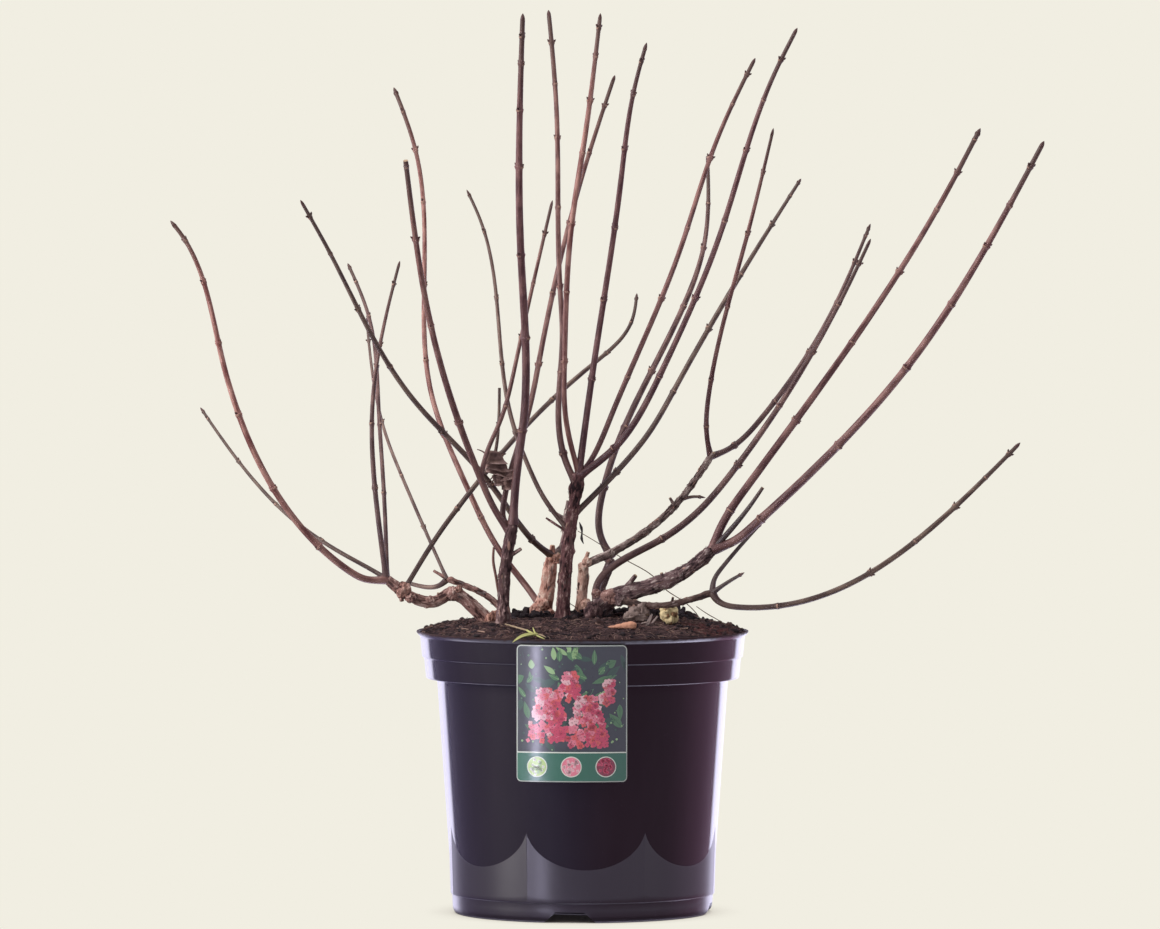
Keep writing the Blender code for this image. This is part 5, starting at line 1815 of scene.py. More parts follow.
@dataclass
class PictureCard:
    """A bent card with a plain garden picture: leaves, flower heads, a band and three dots."""

    width: float = 93.0
    height: float = 113.0
    top_z: float = 232.0
    radius: float = 137.1
    thickness: float = 0.6
    corner: float = 4.0
    turn: float = -3.9
    layer: float = 0.05
    bent_from: float = 4.0
    margin: float = 0.9
    floret_room: float = 7.0
    dot_z: float = 12.6
    dot_radius: float = 8.6
    seed: int = 23
    shape: Shape = field(default_factory=Shape)

    def build(self) -> None:
        """Make the card as one closed sheet, and the print on it."""
        self.shape.add_sheet(self.bend(self._field(0.0, self.height), 0.0), self.thickness)
        edge = Speck("card_edge", tint(206, 214, 206), 0.4, 300.0, 0.0001, 0.6)
        self.shape.build("label_card_body", [edge.material()], "label_card", ["label"])
        self.shape = Shape()
        inks = [Speck(f"ink_{ink.name.lower()}", tint(*shade), 0.34, 260.0, 0.00006, 0.7).material()
                for ink, shade in INK_SHADES.items()]
        self._add_print()
        self.shape.build("label_print", inks, "label_card", crease=60.0)

    def bend(self, flat: Array, lift: "float | Array") -> Array:
        """Bend points of the flat card round the pot.

        Args:
            flat: Points as (..., 2): to the right and up from the card's lower left corner.
            lift: Height above the card's middle surface.

        Returns:
            The places in space.
        """
        angle = math.radians(self.turn) + (flat[..., 0] - self.width / 2.0) / self.radius
        reach = self.radius + lift
        return np.stack([
            reach * np.sin(angle), -reach * np.cos(angle),
            self.top_z - self.height + flat[..., 1] + 0.0 * angle], axis=-1)

    def _field(self, inset: float, top: float) -> Array:
        """Rows of points over the card, within an inset of its edge and up to a height.

        Args:
            inset: Distance kept from the edge.
            top: Height of the last row above the card's foot.

        Returns:
            Flat points as (rows, columns, 2).
        """
        corner = self.corner - inset
        steps = np.array([0.0, 0.04, 0.15, 0.4, 0.7, 1.0]) * corner + inset
        full = top >= self.height - inset
        high = self.height - self.corner if full else top
        heights = np.concatenate([steps[:-1], np.linspace(self.corner, high, 28)])
        if full:
            heights = np.concatenate([heights, (self.height - steps[::-1])[1:]])
        near = np.minimum(heights, self.height - heights) - inset
        cut = corner - np.sqrt(np.maximum(0.0, corner ** 2 - np.maximum(0.0, corner - near) ** 2))
        half = self.width / 2.0 - inset - cut
        x = self.width / 2.0 + half[:, None] * np.linspace(-1.0, 1.0, 41)[None]
        return np.stack([x, np.broadcast_to(heights[:, None], x.shape)], axis=-1)

    def _add_field(self, inset: float, top: float, level: int, mark: int) -> None:
        """Add a printed field that follows the card's edge."""
        lift = self.thickness / 2.0 + self.layer * (level + 0.5)
        self.shape.add_sheet(self.bend(self._field(inset, top), lift), self.layer, mark)

    def _add_patch(self, outline: Array, level: int, mark: int) -> None:
        """Add a flat coloured patch that lies on the card.

        Args:
            outline: Its outline on the flat card, going left round.
            level: How many layers lie under it.
            mark: Its ink.
        """
        count = len(outline)
        middle = outline.mean(0)
        wide = np.ptp(outline, axis=0).max() > self.bent_from
        inner = count if wide else 0
        rings = [outline, middle + 0.5 * (outline - middle)] if wide else [outline]
        lift = self.thickness / 2.0 + self.layer * (level + 1)
        flat = np.concatenate([*rings, middle[None]])
        points = np.concatenate([self.bend(flat, lift), self.bend(outline, self.thickness / 2.0 - 0.1)])
        index = np.arange(count)
        after = (index + 1) % count
        quads = np.stack([index, after, after + count, index + count], axis=-1)
        fan = np.stack([index + inner, after + inner, np.full(count, inner + count)], axis=-1)
        base = len(flat)
        skirt = np.stack([after, index, index + base, after + base], axis=-1)
        self.shape.add(points, [quads, fan, skirt] if wide else [fan, skirt], mark)

    def _add_leaf(self, place: Sequence[float], length: float, width: float, degrees: float,
                  level: int, mark: int, vein: int) -> None:
        """Add a pointed leaf with a midrib."""
        share = np.linspace(0.0, 1.0, 9)
        half = 0.5 * width * np.sin(math.pi * share ** 0.8)
        upper = np.stack([share * length, half], axis=-1)
        lower = np.stack([share[::-1] * length, -half[::-1]], axis=-1)[1:-1]
        outline = np.concatenate([upper, lower])[::-1]
        turn = math.radians(degrees)
        spin = np.array([[math.cos(turn), math.sin(turn)], [-math.sin(turn), math.cos(turn)]])
        self._add_patch(self._keep(outline @ spin + place), level, mark)
        rib = np.array([(0.1, -0.16), (0.9, -0.04), (0.9, 0.04), (0.1, 0.16)]) * (length, 1.0)
        self._add_patch(self._keep(rib @ spin + place), level + 1, vein)

    def _keep(self, outline: Array) -> Array:
        """Hold an outline within the printed field."""
        return np.clip(outline, (1.6, 1.6), (self.width - 1.6, self.height - 1.6))

    def _add_floret(self, place: Array, size: float, degrees: float, level: int, mark: int) -> None:
        """Add a flower of four round petals with a small eye."""
        for quarter in range(4):
            turn = math.radians(degrees + 90.0 * quarter)
            middle = place + 0.5 * size * np.array([math.cos(turn), math.sin(turn)])
            outline = middle + 0.46 * size * ring_points(around(8))
            self._add_patch(self._keep(outline), level, mark)
        eye = place + 0.14 * size * ring_points(around(5))
        self._add_patch(self._keep(eye), level + 1, Ink.WINE)

    def _add_head(
        self, middle: Sequence[float], wide: float, high: float, random: np.random.Generator,
    ) -> None:
        """Add a pointed head of many florets.

        Args:
            middle: Its middle on the flat card.
            wide: Its width at the foot.
            high: Its height.
            random: Random numbers.
        """
        for i in range(int(wide * high / self.floret_room)):
            up = random.uniform(-0.5, 0.5)
            room = 1.0 - 0.62 * (up + 0.5) ** 1.3
            side = random.uniform(-0.5, 0.5) * room
            spot = np.array([middle[0] + side * wide, middle[1] + up * high])
            light = 0.5 - side / room + 0.5 * up + random.normal(0.0, 0.3)
            step = int(np.searchsorted((0.25, 0.5, 0.95), light, "right"))
            mark = (Ink.ROSE, Ink.CORAL, Ink.PINK, Ink.BLUSH)[step]
            self._add_floret(spot, random.uniform(2.0, 3.1), random.uniform(0.0, 90.0), 4 + i % 5, mark)

    def _add_dot(self, x: float, marks: tuple[Ink, Ink, Ink], random: np.random.Generator) -> None:
        """Add a round swatch with a pale rim and small florets in its own colours.

        Args:
            x: Its middle's place across the card.
            marks: The inks of its field and of its florets.
            random: Random numbers.
        """
        middle, radius = np.array((x, self.dot_z)), self.dot_radius
        circle = ring_points(around(36))
        self._add_patch(middle + radius * circle, 11, Ink.WHITE)
        self._add_patch(middle + (radius - 0.8) * circle, 12, marks[0])
        for _ in range(26):
            away = (radius - 2.2) * math.sqrt(random.uniform())
            turn = random.uniform(0.0, 2.0 * math.pi)
            spot = middle + away * np.array([math.cos(turn), math.sin(turn)])
            self._add_floret(spot, 1.5, random.uniform(0.0, 90.0), 13, int(random.choice(marks[1:])))

    def _add_print(self) -> None:
        """Lay the picture: ground, leaves, flower heads, band and dots."""
        random = np.random.default_rng(self.seed)
        self._add_field(self.margin, self.height - self.margin, 0, Ink.GROUND)
        for _ in range(46):
            spot = random.uniform((2.0, 20.0), (self.width - 2.0, self.height - 2.0))
            length, width = random.uniform(9.0, 17.0), random.uniform(4.0, 7.5)
            degrees = random.uniform(0.0, 360.0)
            mark = int(random.choice((Ink.LEAF_DEEP, Ink.LEAF_DEEP, Ink.SHADE, Ink.LEAF)))
            self._add_leaf(spot, length, width, degrees, 1, mark, Ink.LEAF_DEEP)
        for _ in range(26):
            spot = random.uniform((4.0, 56.0), (self.width - 20.0, self.height - 4.0))
            length, width = random.uniform(7.0, 13.0), random.uniform(3.0, 5.5)
            degrees = random.uniform(20.0, 160.0)
            mark = int(random.choice((Ink.LEAF, Ink.LEAF, Ink.LEAF_PALE)))
            self._add_leaf(spot, length, width, degrees, 2, mark, Ink.LEAF_PALE)
        for _ in range(130):
            spot = random.uniform((3.0, 20.0), (self.width - 3.0, self.height - 3.0))
            fleck = ring_points(around(5) + random.uniform(0.0, 1.0))
            outline = spot + random.uniform(0.4, 1.1) * fleck
            mark = int(random.choice((Ink.SHADE, Ink.LEAF, Ink.LEAF_PALE, Ink.LEAF_DEEP)))
            self._add_patch(self._keep(outline), 3, mark)
        for middle, wide, high in (((27.0, 56.0), 36.0, 44.0), ((60.0, 50.0), 36.0, 40.0),
                                   ((46.0, 79.0), 22.0, 22.0), ((78.0, 74.0), 16.0, 20.0)):
            self._add_head(middle, wide, high, random)
        self._add_field(self.margin, 24.0, 10, Ink.BAND)
        stripe = self._field(self.margin, 24.9)[-2:]
        stripe[0, :, 1] = 23.9
        lift = self.thickness / 2.0 + 11.5 * self.layer
        self.shape.add_sheet(self.bend(stripe, lift), self.layer, Ink.WHITE)
        self._add_dot(18.0, (Ink.LIME, Ink.LEAF_PALE, Ink.WHITE), random)
        self._add_dot(46.5, (Ink.PINK, Ink.BLUSH, Ink.BLUSH), random)
        self._add_dot(75.0, (Ink.WINE, Ink.ROSE, Ink.ROSE), random)


# --- Compost --------------------------------------------------------------------------------

@dataclass
class Compost:
    """Heaped compost with clods, chips of bark, fibres and what has fallen on it."""

    edge_radius: float = 137.3
    edge_z: float = 236.9
    dome_radius: float = 134.4
    fall_radius: float = 132.5
    fall_depth: float = 1.5
    rise: float = 10.6
    shoulder: float = 4.0
    fill_gap: float = 0.3
    heap: tuple[float, float, float] = (58.0, 2.0, 4.0)
    heap_spread: tuple[float, float] = (32.0, 44.0)
    columns: int = 340
    rings: int = 185
    seed: int = 3
    rough_patches: tuple[tuple[float, ...], ...] = (
        (20.0, 92.0, -30.0, 40.0, 2.0, 4.6, 60), (-64.0, -24.0, -24.0, 26.0, 2.2, 5.0, 30),
        (-20.0, 22.0, -40.0, 12.0, 1.8, 4.0, 26),
    )
    red_patch: tuple[float, float, float] = (108.0, -62.0, 25.0)
    clod_scatter: tuple[int, float] = (960, 136.0)
    chip_scatter: tuple[int, float] = (300, 134.0)
    fibre_scatter: tuple[int, float] = (4600, 137.5)
    red_fibres: int = 700
    fibre_edge: float = 137.0
    pot: NurseryPot = field(default_factory=NurseryPot)

    def build(self) -> None:
        """Make the ground and everything that lies on it."""
        self._build_ground()
        self._build_litter()
        self._build_finds()
        self._build_sprig()

    def level(self, x: Array, y: Array) -> Array:
        """Height of the ground without its crumbs.

        Args:
            x: Places across.
            y: Places in depth.

        Returns:
            The heights.
        """
        reach = np.hypot(x, y)
        dome = 1.0 - np.minimum(reach / self.dome_radius, 1.0) ** self.shoulder
        height = self.edge_z + self.rise * dome
        east, north, top = self.heap
        wide, deep = self.heap_spread
        height = height + top * np.exp(-((x - east) / wide) ** 2 - ((y - north) / deep) ** 2)
        fall = np.clip((reach - self.fall_radius) / (self.edge_radius - self.fall_radius), 0.0, 1.0)
        return height - self.fall_depth * fall ** 2

    def _crumbs(self, x: Array, y: Array) -> Array:
        """Height of the crumbs over the smooth ground."""
        spot = triples(x, y, 0.0 * x)
        calm = np.clip((self.edge_radius - np.hypot(x, y)) / 6.0, 0.5, 1.0)
        coarse = Grain(self.seed).layers(spot, 16.0, 2)
        lumps = 1.0 - 2.0 * np.abs(Grain(self.seed + 9).layers(spot, 7.0, 2))
        fine = Grain(self.seed + 20).layers(spot, 3.0, 3, 0.7)
        return calm * (0.9 * coarse + 0.8 * lumps + 1.3 * fine)

    def _build_ground(self) -> None:
        """Make the ground and the closed body of compost under it."""
        turn = around(self.columns)
        share = np.linspace(0.0, 1.0, self.rings + 1)[1:] ** 0.8
        radius = (share * self.edge_radius)[:, None] * np.ones(self.columns)[None]
        x, y = radius * np.cos(turn), radius * np.sin(turn)
        crumbs = self._crumbs(x, y)
        top = np.stack([x, y, self.level(x, y) + crumbs], axis=-1)
        inset = self.pot.wall_thickness + self.fill_gap
        floor = self.pot.floor_z + self.fill_gap
        near = float(self.pot.wall(floor)) - inset
        low = [(136.3, 234.4), (134.3, 232.0), (float(self.pot.band(197.8)) - inset - 0.7, 198.2),
               (float(self.pot.wall(196.0)) - inset, 197.0), (near, floor + 3.0),
               (near - 3.0, floor), (20.0, floor)]
        rings = [triples(r * np.cos(turn), r * np.sin(turn), z) for r, z in low]
        grid = np.concatenate([top, np.array(rings)])
        buried = np.full((len(low), self.columns), 0.4)
        relief = np.concatenate([np.clip(0.5 + crumbs / 4.0, 0.0, 1.0), buried])
        shape = Shape()
        shape.add_tube(grid[::-1], 0, {"relief": relief[::-1]})
        shape.build("compost_ground", [CompostEarth().material()], "soil", ["soil"], crease=180.0)

    def _add_lump(
        self, shape: Shape, place: Sequence[float], size: Sequence[float], seed: int, mark: int,
        rough: float, spin: float | None = None,
    ) -> None:
        """Add an uneven clod.

        Args:
            shape: Where it goes.
            place: Its middle.
            size: Its half sizes.
            seed: Seed of its own form.
            mark: Its finish.
            rough: How uneven it is.
            spin: Its turn about the vertical, or none for a free choice.
        """
        rows, columns = (6, 8) if max(size) < 2.6 else ((9, 13) if max(size) < 4.7 else (16, 22))
        ball = globe(np.linspace(0.16, math.pi - 0.16, rows)[::-1, None], columns)
        noise = Grain(seed)
        folds = 1.0 - 2.0 * np.abs(noise.at(ball, 0.45))
        swell = 1.0 + rough * noise.layers(ball, 0.9, 3, 0.6) + 0.5 * rough * folds
        if spin is None:
            spin = float(noise.at(np.array([[1.3, 2.1, 0.7]]), 1.0)[0]) * math.pi
        points = ball * swell[..., None] * np.array(size)
        shape.add_tube(points @ spinner(2, spin).T + np.array(place), mark)

    def _add_chip(
        self, shape: Shape, place: Sequence[float], length: float, width: float,
        random: np.random.Generator, mark: int, thick: float, tip: float | None = None,
    ) -> None:
        """Add a curled chip of bark that lies on the ground.

        Args:
            shape: Where it goes.
            place: Its middle.
            length: Its length.
            width: Its width.
            random: Random numbers.
            mark: Its finish.
            thick: Its thickness.
            tip: How steeply it stands, in degrees, or none for a free choice.
        """
        rows, columns = 7, 5
        along = np.linspace(-0.5, 0.5, rows)[:, None] * length
        across = np.linspace(-0.5, 0.5, columns)[None] * width
        across = across * (1.0 - 0.55 * np.abs(along / length * 2.0) ** 2.5)
        curl = random.uniform(-0.03, 0.09) * across ** 2 * 4.0 / max(width, 1.0)
        bow = random.uniform(-0.012, 0.03) * along ** 2
        noise = Grain(int(random.integers(1, 900)))
        flat = triples(along, across, curl + bow)
        flat = flat + 0.30 * thick * np.stack([noise.at(flat + k * 9.0, 1.6) for k in range(3)], axis=-1)
        yaw = random.uniform(0.0, 2.0 * math.pi)
        tip = random.normal(0.0, 16.0) if tip is None else tip
        roll = random.normal(0.0, 0.35)
        turn = spinner(2, yaw) @ spinner(1, -math.radians(tip)) @ spinner(0, roll)
        shape.add_sheet(flat @ turn.T + np.array(place), thick, mark)

    def ground(self, x: float, y: float) -> float:
        """Height of the ground with its crumbs at one place."""
        return float(self.level(np.array(x), np.array(y)) + self._crumbs(np.array(x), np.array(y)))

    def _spots(self, count: int, reach: float, random: np.random.Generator) -> list[Vec]:
        """Random places on the ground.

        Args:
            count: How many.
            reach: Greatest distance from the pot's axis.
            random: Random numbers.

        Returns:
            The places.
        """
        away = reach * np.sqrt(random.uniform(size=count))
        turn = random.uniform(0.0, 2.0 * math.pi, count)
        x, y = away * np.cos(turn), away * np.sin(turn)
        z = self.level(x, y) + self._crumbs(x, y)
        return list(zip(x, y, z))

    def _build_litter(self) -> None:
        """Scatter clods, crumbs, chips and fibres of plain colours over the ground."""
        random = np.random.default_rng(self.seed)
        clods, chips = Shape(), Shape()
        for x, y, z in self._spots(*self.clod_scatter, random):
            half = (random.gamma(3.0, 0.30) + 0.5) * random.uniform(0.6, 1.3, 3) * (1.0, 1.0, 0.7)
            self._add_lump(clods, (x, y, z + 0.15 * half[2]), half, int(random.integers(1, 900)),
                           int(random.choice((0, 0, 1, 1, 2))), 0.5)
        for x, y, z in self._spots(*self.chip_scatter, random):
            length = random.gamma(3.0, 1.0) + 1.8
            self._add_chip(chips, (x, y, z + 0.4), length, length * random.uniform(0.2, 0.5), random,
                           int(random.choice((0, 0, 0, 1, 1, 2))), random.uniform(0.4, 1.0))
        for west, east, south, north, least, most, count in self.rough_patches:
            for _ in range(count):
                x, y = random.uniform(west, east), random.uniform(south, north)
                half = random.uniform(least, most) * random.uniform(0.7, 1.2, 3) * (1.0, 1.0, 0.85)
                self._add_lump(clods, (x, y, self.ground(x, y) + 0.4 * half[2]), half,
                               int(random.integers(1, 900)), int(random.choice((0, 0, 0, 1))), 0.62)
            for _ in range(count // 2):
                x, y = random.uniform(west, east), random.uniform(south, north)
                self._add_chip(chips, (x, y, self.ground(x, y) + 2.6), random.uniform(7.0, 14.0),
                               random.uniform(3.0, 6.5), random, int(random.choice((0, 0, 0, 1))), 1.1,
                               random.uniform(5.0, 65.0))
        earth = self._tones("clod", 0.95, 0.0012, (28, 19, 20), (54, 38, 37), (88, 64, 60))
        clods.build("compost_clods", earth, "soil", crease=32.0)
        bark = self._tones("chip", 0.85, 0.0008, (34, 24, 25), (68, 48, 46), (106, 74, 66), (142, 114, 100))
        chips.build("bark_chips", bark, "soil", crease=40.0)
        self._build_fibres(random)

    @staticmethod
    def _tones(
        name: str, rough: float, depth: float, *shades: tuple[int, int, int],
    ) -> list[bpy.types.Material]:
        """Plain finishes of one kind of litter.

        Args:
            name: What they are finishes of.
            rough: Their roughness.
            depth: Depth of their unevenness.
            *shades: Their display colours.

        Returns:
            The materials.
        """
        return [Speck(f"{name}_{i}", tint(*shade), rough, 600.0, depth).material()
                for i, shade in enumerate(shades)]

    def _build_fibres(self, random: np.random.Generator) -> None:
        """Lay peat and coconut fibres over the ground, most of them fine.

        Args:
            random: Random numbers.
        """
        fibres = Shape()
        east, north, reach = self.red_patch
        scattered = self._spots(*self.fibre_scatter, random)
        spots = [(x, y, 3.0 + 9.0 * random.uniform()) for x, y, _ in scattered]
        for _ in range(self.red_fibres):
            away, turn = reach * math.sqrt(random.uniform()), random.uniform(0.0, 2.0 * math.pi)
            x, y = east + away * math.cos(turn), north + away * math.sin(turn)
            spots.append((x, y, random.uniform(3.0, 9.0)))
        for x, y, length in spots:
            turn, bend = random.uniform(0.0, 2.0 * math.pi), random.normal(0.0, 0.9)
            places = []
            for share in (-0.5, -0.17, 0.17, 0.5):
                swing = turn + bend * share
                px, py = x + share * length * math.cos(swing), y + share * length * math.sin(swing)
                inward = min(1.0, self.fibre_edge / math.hypot(px, py))
                px, py = px * inward, py * inward
                lift = 0.35 + 1.6 * abs(random.normal()) * (0.5 - abs(share))
                places.append((px, py, self.ground(px, py) + lift))
            width = random.uniform(0.22, 0.55)
            red = math.hypot(x - east, y - north) < reach and random.uniform() < 0.5
            mark = 4 if red else int(random.choice((0, 0, 1, 1, 1, 2, 2, 3)))
            fibres.add_tube(strand(places, (0.5 * width, width, 0.4 * width), 3, 5), mark)
        peat = self._tones("fibre", 0.9, 0.0003, (32, 22, 23), (78, 56, 54), (118, 90, 86),
                           (158, 130, 116), (122, 72, 70))
        fibres.build("compost_fibres", peat, "soil", crease=60.0)

    def _build_finds(self) -> None:
        """Lay the few things that catch the eye: a cream lump, an orange chip, a grey clod."""
        pale = Shape()
        # The small brown lumps with finish 1 are painted shade on the cream lump.
        for number, (x, y, up, half, mark) in enumerate((
                (69.5, -62.0, 8.0, (4.7, 4.6, 5.6), 0), (75.5, -60.0, 9.4, (4.2, 4.4, 4.2), 0),
                (72.5, -64.0, 3.6, (4.8, 3.8, 4.2), 0), (67.4, -62.0, 11.8, (2.9, 2.9, 2.8), 0),
                (76.8, -62.0, 4.0, (2.9, 3.0, 3.4), 0), (75.2, -65.4, 7.4, (2.0, 1.8, 2.2), 1),
                (70.8, -66.6, 6.6, (1.6, 1.2, 1.7), 1), (77.8, -64.2, 7.4, (1.5, 1.2, 2.4), 1),
                (73.0, -66.4, 1.0, (2.4, 1.8, 2.0), 1))):
            self._add_lump(pale, (x, y, self.ground(74, -62) + up), half, 77 + number, mark, 0.5)
        crust_and_shade = self._tones("crust_and_shade", 0.9, 0.0012, (226, 206, 162), (124, 92, 64))
        pale.build("pale_lump", crust_and_shade, "soil", crease=50.0)
        finds = Shape()
        for number, (x, y, up, half) in enumerate((
                (44.0, -58.0, 6.0, (5.6, 5.0, 4.8)), (50.5, -56.0, 8.2, (4.8, 4.8, 5.6)),
                (39.6, -60.0, 3.6, (4.8, 4.0, 3.4)), (47.0, -60.0, 2.0, (5.2, 3.6, 3.8)))):
            self._add_lump(finds, (x, y, self.ground(x, y) + up), half, 91 + number, 1, 0.62)
        for x, up, half in ((40.2, 3.3, (4.8, 2.9, 3.2)), (36.6, 2.8, (5.6, 2.8, 2.7)),
                            (32.2, 2.1, (6.2, 2.4, 2.0)), (26.6, 1.4, (5.4, 1.7, 1.2))):
            self._add_lump(finds, (x, -100.0, self.ground(x, -100) + up), half, 97, 0, 0.20, 0.0)
        for x, y, up, length, width, seed, mark, thick, tip in (
                (55.0, -80.0, 3.6, 15.0, 2.6, 12, 2, 1.1, 40.0),
                (52.0, -84.0, 1.8, 9.0, 2.0, 14, 2, 0.8, 10.0),
                (60.0, -72.0, 2.6, 9.0, 2.6, 15, 2, 0.9, 50.0),
                (-98.0, -70.0, 1.0, 11.0, 1.4, 16, 3, 0.5, 3.0),
                (-84.0, -92.0, 1.0, 9.0, 1.2, 17, 3, 0.5, 3.0),
                (84.0, -84.0, 1.0, 8.0, 1.6, 18, 3, 0.6, 6.0)):
            self._add_chip(finds, (x, y, self.ground(x, y) + up), length, width,
                           np.random.default_rng(seed), mark, thick, tip)
        tones = self._tones("find", 0.8, 0.0008, (204, 148, 122), (132, 114, 108), (136, 120, 116),
                            (150, 122, 108))
        finds.build("shards", tones, "soil", crease=50.0)

    def _build_sprig(self) -> None:
        """Lay the yellow-green sprig in front of the stems, with one leaf over the lip."""
        sprig = Shape()
        stem = ((-64.4, -76.0, 1.4), (-57.4, -93.0, 2.0), (-46.0, -113.0, 2.2), (-39.2, -125.0, 2.0),
                (-31.5, -133.0, 1.0))
        fork = ((-41.0, -112.0, 5.2), (-40.5, -117.0, 4.0), (-38.6, -124.0, 2.0))
        for line, widths, rings, mark in ((stem[:3], (0.9, 1.5, 1.6), 24, 2),
                                          (stem[2:], (1.6, 2.0, 1.7, 0.6), 24, 0),
                                          (fork, (0.4, 1.2, 1.5), 14, 0)):
            places = [(x, y, self.ground(x, y) + up) for x, y, up in line]
            sprig.add_tube(strand(places, widths, 8, rings), mark)
        base = self.ground(-38, -124)
        for line, width, mark in (
                (((-37.0, -124.0, base + 2.6), (-44.5, -130.5, base + 1.8), (-51.5, -137.0, 238.6),
                  (-57.5, -140.6, 234.8)), 3.4, 0),
                # Painted shade: this dark olive leaf lies under the first one and stands for the shade
                # beneath it.
                (((-36.0, -122.0, base + 1.4), (-43.0, -128.0, base + 0.8),
                  (-50.0, -133.0, base + 0.2)), 3.0, 1),
                (((-38.0, -123.0, base + 2.2), (-34.0, -128.0, base + 1.4),
                  (-30.0, -133.0, base - 0.2)), 1.1, 2)):
            route = Route.through(line, step=1.0)
            share = np.linspace(0.0, 1.0, 22)
            centre, ahead, _, _ = route.at(share * route.length)
            side = unit(np.cross(ahead, (0.0, -0.55, 0.83)))
            half = 0.5 * width * (0.10 + np.sin(math.pi * share ** 0.8) ** 0.8)
            across = np.linspace(-1.0, 1.0, 7)
            grid = centre[:, None] + (half[:, None] * across)[..., None] * side[:, None]
            grid[..., 2] += 0.35 * np.abs(across) * half[:, None]
            sprig.add_sheet(grid, 0.35, mark)
        greens = self._tones("sprig", 0.6, 0.0003, (188, 188, 118), (104, 104, 54), (158, 138, 112))
        sprig.build("green_sprig", greens, "soil", crease=60.0)


# --- Dry remains ----------------------------------------------------------------------------

